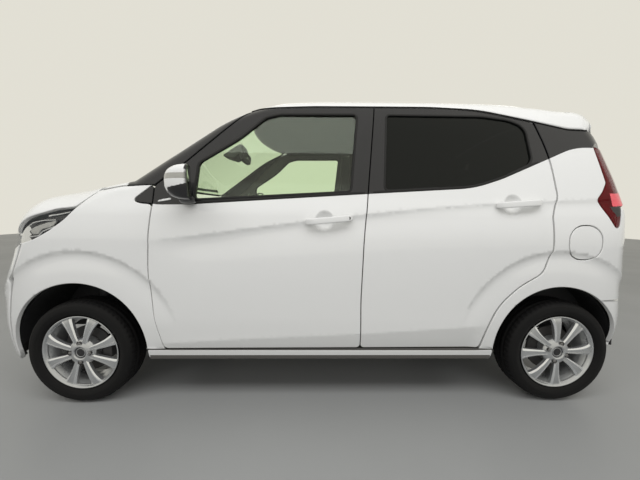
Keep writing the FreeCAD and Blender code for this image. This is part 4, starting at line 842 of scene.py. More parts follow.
shoulderLine = [(x, float(curve(shoulderKnots, x))) for x in np.linspace(-0.70, 1.46, 60)]
footLine = [(x, float(curve(footKnots, x))) for x in np.linspace(-0.76, 0.88, 40)]
creaseLines = [arc(-1.172, car["archHeight"], car["archCrease"], 22, 158, 60),
               arc(1.2555, car["archHeight"], 0.512, 18, 150, 60)]
sideLines = [openLine("left", beltLine)] + [openLine("left", line, 0.05)
                                            for line in (shoulderLine, *creaseLines)]
doorLines = sideLines + [openLine("left", footLine, 0.05)]


# Whole thickness of a door at a point: thin beside the window, thick below the belt
def doorDepth(points):
    belt = dense(beltLine, 0.01, closed=False)
    over = points[:, 2] - np.interp(points[:, 0], belt[:, 0], belt[:, 1])
    return 0.068 - 0.036 * smoothStep(-0.03, 0.02, over)


def bothBodies(name, mesh, materials, body, nodes):
    if "left" in name:
        makeObject(name, mesh, materials, body, nodes)
        other = [node.replace("left", "right") for node in nodes]
        makeObject(name.replace("left", "right"), mirrorMesh(mesh), materials,
                   body.replace("left", "right"), other)
        return
    makeObject(name, bothSides(mesh), materials, body, nodes)


# Doors with their windows
doorMaterials = [finish["bodyPaint"], finish["blackFilm"], finish["lining"]]
doorTable = [
    # node, outline, window, glass node, glass finish, middle of the handle's cup
    ("door_front_left", frontDoorOutline, frontWindowOutline, "glass_front_left", "greenGlass", 0),
    ("door_rear_left", rearDoorOutline, rearWindowOutline, "glass_rear_left", "privacyGlass", 1),
]
for name, door, window, glassNode, glassFinish, cup in doorTable:
    extra = handlePoints[handleCups[cup][0]]
    mesh = bodyPanel([closedLine("left", door), closedLine("left", window, 0.008)], (0, 1, 0), doorDepth,
                     0.015, lines=doorLines, extra=extra, split=aboveBelt, inward=(0, 1, 0), backMaterial=2)
    bothBodies(name + "_skin", mesh, doorMaterials, name, [name])
    pane = bodyPanel([closedLine("left", window)], (0, 1, 0), 0.004, 0.03, gap=-0.006,
                     inset=car["glassInset"], lip=0.0005)
    bothBodies(glassNode + "_pane", pane, [finish[glassFinish]], name, [glassNode])
    seal = onBody("left", shrinkLoop(dense(window, 0.010), -0.002), 0.001)
    mesh = bar(seal, [(-0.006, -0.006), (-0.006, 0.0015), (-0.003, 0.003), (0.003, 0.003), (0.006, 0.0),
                      (0.006, -0.006)],
               fieldNormal(seal), closed=True)
    bothBodies(name + "_seal", mesh, [finish["rubber"]], name, [])
print("doors made")

# Fenders, quarters, sills and pillars
fenderOutline = (
    [(-0.8555, 0.294)]
    + dense([(-0.7595, 0.294), (-0.797, 0.450, 0.5), (-0.8205, 0.680, 1.2), (-0.810, 0.880, 1.0),
             (-0.792, 1.037, 0.02), (-0.850, 1.042, 0.1), (-0.893, 1.055, 0.012), (-0.812, 1.121, 0.4),
             (-0.803, 1.133), (-0.95, 1.127, 0.2), (-1.0795, 1.104)], 0.012, closed=False).tolist()
    + dense(hoodEdge[:3], 0.012, closed=False)[1:].tolist()
    + dense(lampLower, 0.012, closed=False)[1:].tolist()
    + dense(bumperFront[::-1], 0.012, closed=False)[1:].tolist()
    + arc(car["frontArchX"], car["archHeight"], car["frontArch"], 190, -1, 70)[1:]
)
paintMaterials = [finish["bodyPaint"], finish["blackPlastic"]]
fender = bodyPanel([onBody("left", fenderOutline)], (0, 1, 0), 0.016, lines=sideLines[1:], backMaterial=1)
fenders = bothSides(fender)
makeObject("fenders_skin", fenders, paintMaterials, "root", ["front_fenders"])

lidLoop = [(1.2865, 0.770, 0.075), (1.2865, 0.944, 0.075), (1.4545, 0.944, 0.075), (1.4545, 0.770, 0.075)]
quarterLines = [openLine("left", beltLine)] + sideLines[1:]
lid = bodyPanel([closedLine("left", lidLoop, 0.008)], (0, 1, 0), 0.010)
makeObject("filler_lid_skin", lid, [finish["bodyPaint"]], "fuel_lid", ["fuel_lid"])

sillOutline = [(-0.8515, 0.240, 0.01), (-0.8555, 0.290, 0.01), (0.948, 0.290, 0.01), (0.9445, 0.246, 0.01),
               (0.04, 0.240, 2.0)]
sill = bodyPanel([closedLine("left", sillOutline)], (0, 1, 0), 0.03, inset=0.003, inward=(0, 1, 0))
makeObject("sills_skin", bothSides(sill), [finish["bodyPaint"]], "root", [])

pillarOutline = np.concatenate([
    openLine("left", [(-0.790, 1.133), (-0.640, 1.255, 0.6), (-0.361, 1.511, 0.09), (-0.340, 1.527)]),
    openLine("front", [(-0.556, 1.540), (-0.624, 1.135)]),
    openLine("left", [(-1.060, 1.112), (-0.95, 1.131, 0.2), (-0.800, 1.1335)]),
])
pillarSkin = bodyPanel([pillarOutline], (0.35, 0.75, -0.4), 0.012, 0.010, gap=0.001,
                       split=lambda centres: centres[:, 0] < -0.930)
pillars = bothSides(pillarSkin)
filmMaterials = [finish["blackFilm"], finish["bodyPaint"]]
makeObject("front_pillars_skin", pillars, filmMaterials, "root", ["a_pillars"])
sailOutline = [(-0.793, 1.130, 0.01), (-0.813, 1.119, 0.4), (-0.891, 1.055, 0.010), (-0.850, 1.044, 0.1),
               (-0.794, 1.040, 0.004)]
sail = bodyPanel([closedLine("left", sailOutline, 0.006)], (0, 1, 0), 0.012, gap=0.0008)
makeObject("pillar_feet_skin", bothSides(sail), [finish["blackFilm"]], "root", [])
print("sides made")

# Hood, roof and windscreen
edgeLeft = openLine("left", hoodEdge, 0.014)
rearY = edgeLeft[0][1]
hoodRearLine = onBody("top", [(-1.0795, y) for y in np.linspace(-rearY - 0.006, rearY + 0.006, 60)])
frontHalf = -edgeLeft[-1][1] - 0.006
hoodNose = onBody("front", [(y, 0.874 + 0.004 * (y / frontHalf) ** 2)
                            for y in np.linspace(-frontHalf, frontHalf, 70)])
mirrorY = np.array([1, -1, 1])
hoodLoop = np.concatenate([edgeLeft, hoodNose, (edgeLeft * mirrorY)[::-1], hoodRearLine])
hoodSkin = bodyPanel([hoodLoop], (0.40, 0, -0.92), 0.014, 0.018)
makeObject("hood_skin", hoodSkin, [finish["bodyPaint"]], "hood", ["hood"])

roofSide = openLine("left", roofEdge, 0.014)
screenTop = openLine("front", [(-0.548, 1.548), (-0.540, 1.560, 0.04), (0.540, 1.560, 0.04),
                               (0.548, 1.548)], 0.02)
spoilerTip = openLine("left", [(1.455, 1.437), (1.490, 1.452, 0.02)], 0.010)[1:]
spoilerEnd = onBody("back", [(-0.590, 1.470), (-0.580, 1.485), (-0.579, 1.497)])
railX = spoilerEnd[-1][0]
roofRail = onBody("top", [(x, -0.579) for x in np.linspace(railX - 0.008, 1.3415, 14)])
roofTail = onBody("top", [(1.3405, y) for y in np.linspace(-0.570, 0.570, 60)])
roofEnd = np.concatenate([spoilerTip, spoilerEnd, roofRail])
roofLoop = np.concatenate([screenTop, (roofSide * mirrorY), (roofEnd * mirrorY), roofTail[::-1],
                           roofEnd[::-1], roofSide[::-1]])
roofSkin = bodyPanel([roofLoop], (0, 0, -1), 0.012, 0.022, gap=0.001, backMaterial=1)
roofMaterials = [finish["bodyPaint"], finish["headLining"]]
makeObject("roof_skin", roofSkin, roofMaterials, "root", ["roof"])
seamLine = openLine("left", [(-0.33, 1.531), (-0.29, 1.5425, 0.08), (0.0, 1.5545, 2.0), (0.60, 1.558, 2.0),
                             (0.86, 1.5455, 1.0),
                     (1.148, 1.4825, 0.2), (1.320, 1.442, 0.2), (1.430, 1.4375)])
roofSeam = bar(seamLine, ringSection(0.0032, 8), fieldNormal(seamLine))
makeObject("roof_seams", bothSides(roofSeam), [finish["rubber"]], "root")

screenLoop = closedLine("front", [
    (-0.615, 1.166, 0.02), (-0.548, 1.556, 0.05), (0.548, 1.556, 0.05), (0.615, 1.166, 0.02),
    (0.3, 1.169, 0.5), (0, 1.170, 0.5), (-0.3, 1.169, 0.5)], 0.02)
screen = bodyPanel([screenLoop], (1, 0, -0.6), 0.005, 0.035, gap=0.0015, inset=0.003, lip=0.0005)
makeObject("windshield_pane", screen, [finish["greenGlass"]], "root", ["windshield"])
band = bar(screenLoop, [(-0.013, -0.004), (-0.013, -0.002), (0.013, -0.002), (0.013, -0.004)],
           fieldNormal(screenLoop), closed=True)
makeObject("windshield_band", band, [finish["blackPlastic"]], "root")
print("top made")

# Nose
lampLine = np.concatenate([
    openLine("left", hoodEdge[2:]),
    openLine("front", [(-0.47, 0.874), (-0.425, 0.872, 0.01), (-0.400, 0.835, 0.02), (-0.43, 0.800, 0.02),
                       (-0.52, 0.790)]),
    openLine("left", [(-1.585, 0.790), (-1.52, 0.803, 0.1), (-1.4295, 0.842, 0.1), (-1.373, 0.858, 0.3),
                      (-1.290, 0.904, 0.4), (-1.212, 0.963, 0.3)]),
])
lampFacing = (0.75, 0.55, -0.2)
lampBed = bodyPanel([lampLine], lampFacing, 0.012, gap=0.003, inset=0.024,
                    split=lambda centres: np.where(centres[:, 0] < -1.402, 1, 0))
lampParts = [lampBed]
reflectorOutline = [
    (-1.391, 0.903, 0.01), (-1.368, 0.920, 0.01), (-1.304, 0.943, 0.04), (-1.258, 0.953),
    (-1.271, 0.932, 0.02), (-1.293, 0.918, 0.01), (-1.332, 0.909, 0.02), (-1.349, 0.884, 0.01),
    (-1.377, 0.884, 0.01)]
stripOutline = [
    (-1.306, 0.970, 0.004), (-1.296, 0.981, 0.01), (-1.252, 0.987, 0.05), (-1.196, 0.998),
    (-1.199, 0.991, 0.01), (-1.242, 0.981, 0.05)]
for outline, material in ((reflectorOutline, 2), (stripOutline, 1)):
    plate = bodyPanel([closedLine("left", outline, 0.006)], (0, 1, 0), 0.006, 0.008, gap=0, inset=0.012)
    plate["materials"][:] = material
    lampParts.append(plate)
for points in ([(-1.392, 0.925), (-1.3677, 0.942, 0.02), (-1.3184, 0.953, 0.1), (-1.2603, 0.955)],
               [(-1.386, 0.872), (-1.345, 0.878, 0.02), (-1.325, 0.900, 0.02), (-1.262, 0.925)]):
    line = onBody("left", dense(points, 0.006, closed=False), 0.011)
    lampParts.append(bar(line, ringSection(0.0028, 8, 0.6), fieldNormal(line), material=1))
# Two round reflector cups with their bulbs face forward
for cupY, cupZ, cupRadius in ((-0.575, 0.868, 0.044), (-0.485, 0.842, 0.034)):
    middle = onBody("front", [(cupY, cupZ)], 0.020)[0]
    cupProfile = [(cupRadius, 0.004), (cupRadius - 0.003, 0.006), (cupRadius * 0.86, -0.004),
                  (cupRadius * 0.6, -0.016), (cupRadius * 0.25, -0.022), (0.0, -0.023)]
    lampParts.append(lathe(dense(cupProfile, 0.004, closed=False), middle, (-1, 0, 0), 40, 1))
    lampParts.append(lathe([(0.0, -0.004), (0.006, -0.005), (0.008, -0.010), (0.008, -0.022)], middle,
                           (-1, 0, 0), 20, 2))
lampInside = joinMeshes(lampParts)
lampMaterials = [finish["lampBlack"], finish["chrome"], finish["reflectorGrey"]]
makeObject("headlamps_bed", bothSides(lampInside), lampMaterials, "root", ["headlamps"])
lampLens = bodyPanel([lampLine], lampFacing, 0.003, gap=0.002)
lampLenses = bothSides(lampLens)
makeObject("headlamps_lens", lampLenses, [finish["clearLens"]], "root", [])

bumperSide = openLine("left", bumperFront, 0.014)
lampFoot = openLine("left", [(-1.4295, 0.842), (-1.52, 0.803, 0.1), (-1.585, 0.790)], 0.014)
lampInnerEdge = openLine("front", [(-0.52, 0.790), (-0.43, 0.800, 0.02), (-0.400, 0.835, 0.02),
                                   (-0.425, 0.872, 0.01), (-0.400, 0.873)])
bumperTop = onBody("front", [(y, 0.873) for y in np.linspace(-0.39, 0.39, 50)])
bumperHalf = -bumperSide[0][1]
bumperFoot = onBody("front", [(y, 0.215) for y in np.linspace(bumperHalf - 0.05, -bumperHalf + 0.05, 70)])
bumperFlank = openLine("left", [(-1.60, 0.202), (-1.5625, 0.207)], 0.014)[:-1]
bumperLoop = np.concatenate([
    bumperSide, lampFoot[1:], lampInnerEdge[1:], bumperTop, (lampInnerEdge[1:] * mirrorY)[::-1],
    (lampFoot[1:] * mirrorY)[::-1], (bumperSide * mirrorY)[::-1], (bumperFlank * mirrorY)[::-1], bumperFoot,
    bumperFlank])
grilleHoles = [
    closedLine("front", [(-0.385, 0.796, 0.015), (0.385, 0.796, 0.015), (0.372, 0.860, 0.015),
                         (-0.372, 0.860, 0.015)]),
    closedLine("front", [(-0.430, 0.300, 0.04), (0.430, 0.300, 0.04), (0.400, 0.470, 0.06),
                         (-0.400, 0.470, 0.06)]),
]
bumperSkin = bodyPanel([bumperLoop] + grilleHoles, (1, 0, 0), 0.014, 0.016, backMaterial=1)
makeObject("front_bumper_skin", bumperSkin, paintMaterials, "root", ["front_bumper"])
print("nose made")

# Tail

def gateLine(low, high):
    knots = [(0.60, -0.600), (0.85, -0.617), (1.09, -0.632), (1.30, -0.604), (1.44, -0.585), (1.52, -0.576)]
    heights = np.linspace(low, high, max(3, int(abs(high - low) / 0.012)))
    return onBody("back", np.stack([curve(knots, heights), heights], 1))


gateSide = gateLine(0.645, 1.498)
lipX = gateSide[-1][0]
gateRail = onBody("top", [(x, -0.576) for x in np.linspace(lipX - 0.008, 1.3475, 14)])
gateSeam = onBody("top", [(1.3475, y) for y in np.linspace(-0.565, 0.565, 60)])
gateFoot = onBody("back", [(y, 0.645) for y in np.linspace(0.592, -0.592, 60)])
gateLoop = np.concatenate([gateSide, gateRail, gateSeam, (gateRail * mirrorY)[::-1],
                           (gateSide * mirrorY)[::-1], gateFoot])
gateHole = closedLine("back", [(-0.500, 1.150, 0.06), (0.500, 1.150, 0.06), (0.455, 1.440, 0.06),
                               (-0.455, 1.440, 0.06)], 0.014)
gateSkin = bodyPanel([gateLoop, gateHole], (-1, 0, -0.25), 0.016, 0.018)
makeObject("tailgate_skin", gateSkin, [finish["bodyPaint"]], "tailgate", ["tailgate"])
gatePane = bodyPanel([gateHole], (-1, 0, 0), 0.004, 0.04, gap=-0.006, inset=0.005, lip=0.0005)
makeObject("tailgate_pane", gatePane, [finish["privacyGlass"]], "tailgate", ["tailgate_glass"])

lampFront = [(1.452, 1.350), (1.470, 1.272, 0.2), (1.495, 1.161, 0.03), (1.470, 1.113, 0.06),
             (1.438, 1.075, 0.012), (1.536, 0.912, 0.012), (1.561, 1.035)]
lampSide = openLine("left", lampFront, 0.010)
lampRear = gateLine(1.060, 1.345)
lampOuter = openLine("left", [(1.478, 1.347), (1.452, 1.350)], 0.010)[:-1]
tailLamp = np.concatenate([lampSide, lampRear, lampOuter])
lampDirection = (-0.5, 0.86, 0)
lampEdgeKnots = [(0.60, -0.600), (0.85, -0.617), (1.09, -0.632), (1.30, -0.604), (1.44, -0.585)]


# The lens is clear along its rear edge and red elsewhere, with a red block and, below it, a black triangle
# that is painted shade under the block
def lensColour(centres):
    clearWidth = 0.018 + 0.020 * smoothStep(1.30, 1.14, centres[:, 2]) * smoothStep(1.11, 1.12, centres[:, 2])
    colour = np.where(np.abs(centres[:, 1]) < clearWidth - curve(lampEdgeKnots, centres[:, 2]), 1, 0)
    for outline, material in ((blockOutline, 2), (paintedShadeOutline, 3)):
        colour[pointsInside(centres[:, [0, 2]], [np.array([point[:2] for point in outline])])] = material
    return colour


blockOutline = [(1.505, 1.107, 0.006), (1.610, 1.110), (1.610, 1.043), (1.514, 1.042, 0.006)]
# Black triangle under the red block: painted shade
paintedShadeOutline = [(1.500, 1.039, 0.004), (1.585, 1.040), (1.560, 1.000), (1.531, 0.985, 0.004)]
redLens = bodyPanel([tailLamp], lampDirection, 0.003, 0.006, gap=0.0015, split=lensColour)
lensMaterials = [finish[name] for name in ("redLens", "clearLens", "redBlock", "lampBlack")]
makeObject("tail_lamps_lens", bothSides(redLens), lensMaterials, "root", ["tail_lamps"])
tailInside = bodyPanel([tailLamp], lampDirection, 0.006, 0.014, gap=0.003, inset=0.020)
makeObject("tail_lamps_bed", bothSides(tailInside), [finish["tailRed"]], "root")

quarterOutline = np.concatenate([
    openLine("left", [
        (0.872, 0.294), (0.897, 0.405, 0.5), (0.949, 0.530, 0.4), (1.053, 0.632, 0.4), (1.168, 0.700, 0.10),
        (1.211, 0.820, 0.14), (1.206, 0.985, 0.06), (1.237, 1.090, 0.10), (1.217, 1.290, 0.8),
        (1.151, 1.481), (1.330, 1.440, 0.2), (1.455, 1.436)]),
    gateLine(1.432, 1.352), lampSide, gateLine(1.045, 0.832),
    openLine("left", bumperRear[::-1]),
    onBody("left", arc(car["rearArchX"], car["archHeight"], car["rearArch"], -2, 182, 70)),
])
quarterDirection = (-0.30, 0.95, 0)
quarterLeft = bodyPanel([quarterOutline, closedLine("left", lidLoop, 0.008)], quarterDirection, 0.016,
                        lines=quarterLines, split=aboveBelt, backMaterial=1)
quarterRight = mirrorMesh(bodyPanel([quarterOutline], quarterDirection, 0.016, lines=quarterLines,
                                    split=aboveBelt, backMaterial=1))
makeObject("quarters_skin", joinMeshes([quarterLeft, quarterRight]), doorMaterials[:2], "root",
           ["quarter_panels"])

bumperBack = openLine("left", bumperRear, 0.014)
bumperCorner = gateLine(0.828, 0.642)
bumperShelf = onBody("back", [(y, 0.639) for y in np.linspace(-0.590, 0.590, 60)])
heel = bumperBack[0][1]
bumperUnder = onBody("back", [(y, 0.246) for y in np.linspace(-heel - 0.03, heel + 0.03, 60)])
heelSide = openLine("left", [(1.600, 0.250), (1.592, 0.291)], 0.014)[:-1]
bumperLoop = np.concatenate([
    bumperBack, bumperCorner, bumperShelf, (bumperCorner * mirrorY)[::-1], (bumperBack * mirrorY)[::-1],
    (heelSide * mirrorY)[::-1], bumperUnder, heelSide])
rearBumperSkin = bodyPanel([bumperLoop], (-1, 0, 0), 0.014, 0.016, backMaterial=1)
makeObject("rear_bumper_skin", rearBumperSkin, paintMaterials, "root", ["rear_bumper"])
print("tail made")

# Wheels

def wheelPlace(axle, sign):
    track = car["frontTrack"] if axle < 0 else car["rearTrack"]
    return np.array([axle, sign * track / 2, car["hub"]])


# Tread and side wall of a tyre: grooves round it, slanted blocks and fine cuts, rings on its wall
treadSizes = {
    "grooves": (-0.030, 0.0, 0.030), "blocks": 60, "slant": 9,
    "grooveDepth": 0.006, "blockDepth": 0.005, "sipeDepth": 0.003,
    "wallRings": (0.224, 0.249), "ringHeight": 0.0012,
}


def tyreMesh(centre, sign):
    half = car["tyreWidth"] / 2
    crown = car["tyreRadius"]
    seat = car["rimWidth"] / 2 - 0.004
    profile = dense([
        (car["rimRadius"] + 0.0005, -seat), (car["rimLip"] - 0.004, -seat - 0.001, 0.004),
        (0.210, -half + 0.006, 0.02), (0.232, -half, 0.03), (0.256, -half + 0.006, 0.02),
        (crown - 0.006, -half + 0.018, 0.014), (crown, -0.040, 0.05), (crown, 0.040, 0.05),
        (crown - 0.006, half - 0.018, 0.014), (0.256, half - 0.006, 0.02), (0.232, half, 0.03),
        (0.210, half - 0.006, 0.02), (car["rimLip"] - 0.004, seat + 0.001, 0.004),
        (car["rimRadius"] + 0.0005, seat)], 0.0055, closed=False)
    segments = 240
    turn = np.linspace(0, 2 * math.pi, segments, endpoint=False)
    radius = profile[None, :, 0] + 0 * turn[:, None]
    across = profile[None, :, 1] + 0 * turn[:, None]
    tread = smoothStep(crown - 0.010, crown - 0.004, radius) * (np.abs(across) < half)
    grooves = np.zeros_like(radius)
    for middle in treadSizes["grooves"]:
        grooves = np.maximum(grooves, 1 - smoothStep(0.0025, 0.0045, np.abs(across - middle)))
    slant = turn[:, None] * treadSizes["blocks"] / (2 * math.pi) + np.abs(across) * treadSizes["slant"]
    blocks = (np.abs(across) > 0.034) * (1 - smoothStep(0.10, 0.18, np.abs((slant % 1) - 0.5)))
    sipes = (np.abs(across) < 0.027) * (1 - smoothStep(0.05, 0.10, np.abs(((slant * 2 + 0.3) % 1) - 0.5)))
    radius = radius - tread * np.maximum(treadSizes["grooveDepth"] * grooves,
                                         np.maximum(treadSizes["blockDepth"] * blocks,
                                                    treadSizes["sipeDepth"] * sipes))
    wall = sum(smoothStep(0.003, 0.0, np.abs(profile[None, :, 0] - ring)) for ring in treadSizes["wallRings"])
    across = across + np.sign(across) * treadSizes["ringHeight"] * wall * (np.abs(across) > 0.06)
    points = np.stack([centre[0] + radius * np.sin(turn)[:, None], centre[1] + sign * across,
                       centre[2] + radius * np.cos(turn)[:, None]], -1)
    return gridMesh(points, closedU=True, flip=sign > 0)


def rimMesh(centre, sign, turnDeg):
    axis = (0, sign, 0)
    half = car["rimWidth"] / 2
    lip = car["rimLip"]
    seat = car["rimRadius"]
    barrel = lathe(dense([
        (lip - 0.001, half + 0.006, 0.001), (lip, half + 0.0085, 0.002), (lip - 0.004, half + 0.010, 0.002),
        (lip - 0.008, half + 0.007, 0.004), (seat + 0.004, half - 0.002, 0.006),
        (seat - 0.010, half - 0.030, 0.02), (0.158, 0.0, 0.03), (0.156, -half + 0.01, 0.02),
        (seat + 0.002, -half - 0.004, 0.006), (lip, -half - 0.008, 0.002),
        (lip - 0.003, -half - 0.001, 0.002), (seat, -half + 0.004, 0.004), (seat, half - 0.004, 0.004),
        (lip - 0.003, half + 0.001, 0.002)], 0.006), centre, axis, 96, 0, closed=True)
    hubDisc = lathe(dense([
        (0.0, 0.054), (0.027, 0.054, 0.002), (0.030, 0.068, 0.003), (0.036, 0.071, 0.004),
        (0.046, 0.068, 0.006), (0.062, 0.062, 0.01), (0.070, 0.050, 0.006), (0.072, 0.012), (0.0, 0.012)],
        0.004, closed=False), centre, axis, 64, 0)
    cap = lathe(dense([(0.0, 0.0640), (0.020, 0.0632, 0.004), (0.0265, 0.0615, 0.002), (0.0275, 0.054)],
                      0.003, closed=False), centre, axis, 48, 1)
    ring = lathe(dense([(0.0195, 0.0620), (0.0215, 0.0644, 0.001), (0.0235, 0.0637, 0.001),
                        (0.0245, 0.0610)], 0.001, closed=False), centre, axis, 48, 0)
    pieces = [barrel, hubDisc, cap, ring]
    reach = np.linspace(0, 1, 22)
    section = dense([(-1.0, -1.9), (-1.0, -0.55, 0.25), (-0.62, 0.0, 0.2), (-0.35, -0.12, 0.2),
                     (0.35, -0.12, 0.2), (0.62, 0.0, 0.2), (1.0, -0.55, 0.25), (1.0, -1.9)], 0.16,
                     closed=False)
    radii = 0.040 + 0.150 * reach
    width = curve([(0, 0.0135), (0.25, 0.0145), (0.6, 0.0195), (0.85, 0.0265), (1.0, 0.034)], reach)
    front = curve([(0, 0.0655), (0.3, 0.068), (0.6, 0.067), (0.85, 0.0635), (1.0, 0.058)], reach)
    for k in range(8):
        swing = 0.10 * np.sin(math.pi * reach) * (1 if k % 2 else -1)
        angle = math.radians(turnDeg + 22.5 + 45 * k) + swing * 0.35
        outwards = np.stack([np.sin(angle), 0 * angle, np.cos(angle)], -1)
        along = np.stack([np.cos(angle), 0 * angle, -np.sin(angle)], -1)
        points = (centre + outwards[:, None, :] * radii[:, None, None]
                  + along[:, None, :] * (width[:, None] * section[None, :, 0])[..., None]
                  + np.array(axis) * (front[:, None] + 0.011 * section[None, :, 1])[..., None])
        spoke = gridMesh(points, closedV=True, flip=sign < 0)
        column = np.tile(np.arange(len(section)), len(reach) - 1)
        side = section[np.tile(column, 2), 0]
        spoke["materials"] = np.where((np.abs(side) > 0.60) & (np.abs(side) < 0.97), 5, 0)
        pieces.append(faceted(spoke, 28))
    for k in range(4):
        angle = math.radians(turnDeg + 90 * k)
        place = centre + 0.050 * np.array([math.sin(angle), 0, math.cos(angle)])
        # The cone round each nut takes the dark cast iron finish as painted shade in the recess
        pieces.append(lathe([(0.0125, 0.0705), (0.0105, 0.0665), (0.0095, 0.054)], place, axis, 24, 2))
        nut = lathe([(0.0, 0.0715), (0.0060, 0.0715), (0.0085, 0.0700), (0.0088, 0.054)], place, axis, 6, 3)
        pieces.append(faceted(nut, 20))
    disc = lathe(dense([(0.045, 0.004), (0.060, 0.010), (0.064, -0.003), (0.122, -0.003, 0.001),
                        (0.122, 0.010, 0.001), (0.066, 0.010)], 0.01, closed=False), centre, axis, 64, 4)
    return joinMeshes(pieces + [disc])


# Third finish: dark cast iron used as painted shade in the nut recesses; fifth: the brake disc
rimMaterials = [finish[name] for name in ("alloy", "blackFilm", "castIron", "steel", "castIron",
                                          "alloyBright")]
for end, axle in (("front", frontAxle), ("rear", rearAxle)):
    for sideName, sign in (("left", -1), ("right", 1)):
        centre = wheelPlace(axle, sign)
        body = f"wheel_{end}_{sideName}"
        makeObject(f"tread_{end}_{sideName}", tyreMesh(centre, sign), [finish["tyreRubber"]], body,
                   [f"tyre_{end}_{sideName}"])
        spin = 0 if end == "front" else 18
        makeObject(f"rim_{end}_{sideName}", rimMesh(centre, sign, spin), rimMaterials, body,
                   [f"wheel_{end}_{sideName}"])
print("wheels made")

# Pull handles: an arched grip whose ends meet the door, with a key cylinder in the front ones
handle = {"length": 0.226, "half": 0.0155, "thick": 0.0085, "reach": 0.025}
handleTable = [
    # door, middle x and z, slope of the grip
    ("door_front_left", 0.0785, 0.964, 0.095),
    ("door_rear_left", 1.0305, 1.049, 0.07),
]


# Squared-off oval: power 2 is an ellipse and more is boxier
def oval(halfU, halfV, power=4.0, count=24):
    turn = np.linspace(0, 2 * math.pi, count, endpoint=False)
    bend = 2 / power
    return np.stack([halfU * np.sign(np.cos(turn)) * np.abs(np.cos(turn)) ** bend,
                     halfV * np.sign(np.sin(turn)) * np.abs(np.sin(turn)) ** bend], 1)


for name, middleX, middleZ, slope in handleTable:
    t = np.sin(np.linspace(-math.pi / 2, math.pi / 2, 61))
    x = middleX + t * handle["length"] / 2
    z = middleZ + slope * (x - middleX)
    ends = onBody("left", [(x[0], z[0]), (x[-1], z[-1])])[:, 1]
    y = np.interp(x, x[[0, -1]], ends) - 0.004 - handle["reach"] * (1 - np.abs(t) ** 5)
    line = np.stack([x, y, z], 1)
    grip = bar(line, oval(handle["half"], handle["thick"], 4.5), (0, -1, 0),
               taper=(1 - np.abs(t) ** 14 * 0.35))
    parts = [grip]
    if "front" in name:
        keyX = middleX + handle["length"] * 0.425
        keyPlace = (keyX, np.interp(keyX, x, y) - handle["thick"] + 0.001, middleZ + slope * (keyX - middleX))
        keyProfile = [(0.0, 0.0005), (0.0035, 0.0014), (0.007, 0.0014), (0.0082, 0.0004), (0.0082, -0.004)]
        parts.append(lathe(keyProfile, keyPlace, (0, -1, 0), 24, 1))
    bothBodies(name.replace("door", "pull"), joinMeshes(parts), [finish["bodyPaint"], finish["lampBlack"]],
               name, [])
print("handles made")

# Mirrors: every height is a D-shaped ring, flat behind and bulging ahead
mirror = {"rear": -0.566, "reach": 0.110, "inner": -0.742, "outer": -0.876, "low": 1.054, "high": 1.208,
          "turn": 0.30}
rows = np.sort(np.concatenate([np.linspace(-1, 1, 61), [0.02, 0.36, -0.34]]))
rows = np.sin(rows * math.pi / 2)
spread = np.maximum(1 - np.abs(rows) ** 3.2, 0) ** (1 / 3.2)
turn = np.linspace(-math.pi / 2, math.pi / 2, 49)
middleY = (mirror["inner"] + mirror["outer"]) / 2
halfY = (mirror["inner"] - mirror["outer"]) / 2
flatRear = np.linspace(1, -1, 21)[1:-1]
ringX = np.concatenate([-np.cos(turn) ** (2 / 2.6), 0 * flatRear])
ringY = np.concatenate([np.sign(np.sin(turn)) * np.abs(np.sin(turn)) ** (2 / 2.6), flatRear])
height = (mirror["low"] + mirror["high"]) / 2 + (mirror["high"] - mirror["low"]) / 2 * rows
tuck = 1 - 0.10 * np.maximum(rows, 0) ** 2 - 0.16 * np.maximum(-rows, 0) ** 2
shell = np.stack([
    mirror["rear"] + mirror["reach"] * (spread * tuck)[:, None] * ringX + 0.004 * (1 - spread)[:, None],
    middleY + halfY * (0.35 + 0.65 * spread)[:, None] * ringY - 0.006 * rows[:, None],
    height[:, None] + 0 * ringX], -1)
shell[0] = shell[0].mean(0)
shell[-1] = shell[-1].mean(0)
cover = gridMesh(shell, closedV=True)
if (faceNormals(cover["points"], cover["triangles"]) * (
        cover["points"][cover["triangles"]].mean(1) - shell.reshape(-1, 3).mean(0))).sum() < 0:
    cover["triangles"] = cover["triangles"][:, ::-1]
    cover["normals"] = -cover["normals"]
middle = cover["points"][cover["triangles"]].mean(1)
lower = 1.112 + 0.20 * (middle[:, 0] - mirror["rear"] + 0.055)
strip = (middle[:, 2] > 1.143) & (middle[:, 2] < 1.168) & (middle[:, 0] > mirror["rear"] - 0.107)
cover["materials"] = np.where(strip, 2, 0)
cover["materials"][(middle[:, 2] < lower) & (middle[:, 0] > mirror["rear"] - 0.090)] = 1
cover["materials"][middle[:, 0] > mirror["rear"] - 0.0075] = 1
paneRows = np.linspace(0, 1, 8)[:, None, None]
outline = oval(0.049, 0.068, 4.0, 48)
paneFlat = paneRows * outline[None]
pane = np.stack([mirror["rear"] + 0.0022 - 0.0015 * paneRows[..., 0] + 0 * paneFlat[..., 0],
                 middleY + paneFlat[..., 0], 1.1375 + paneFlat[..., 1]], -1)
glass = gridMesh(pane, closedV=True, material=3)
if glass["normals"][:, 0].sum() < 0:
    glass["triangles"] = glass["triangles"][:, ::-1]
    glass["normals"] = -glass["normals"]
mirrorFoot = [(-0.597, -0.775, 1.062), (-0.600, -0.752, 1.050), (-0.610, -0.722, 1.049),
              (-0.614, -0.700, 1.050)]
foot = bar(dense3(mirrorFoot), oval(0.036, 0.011, 3.0), (0, 0, 1), material=1)
for mesh in (cover, glass):
    mesh["points"] = mesh["points"].copy()
    mesh["points"][:, 0] -= mirror["turn"] * (mesh["points"][:, 1] - middleY)
    mesh["normals"] = pointNormals(mesh["points"], mesh["triangles"])
mirrorParts = joinMeshes([cover, glass, foot])
mirrorMaterials = [finish["bodyPaint"], finish["blackFilm"], finish["reflectorGrey"], finish["chrome"]]
bothBodies("mirror_left_case", mirrorParts, mirrorMaterials, "door_front_left", ["mirror_left"])
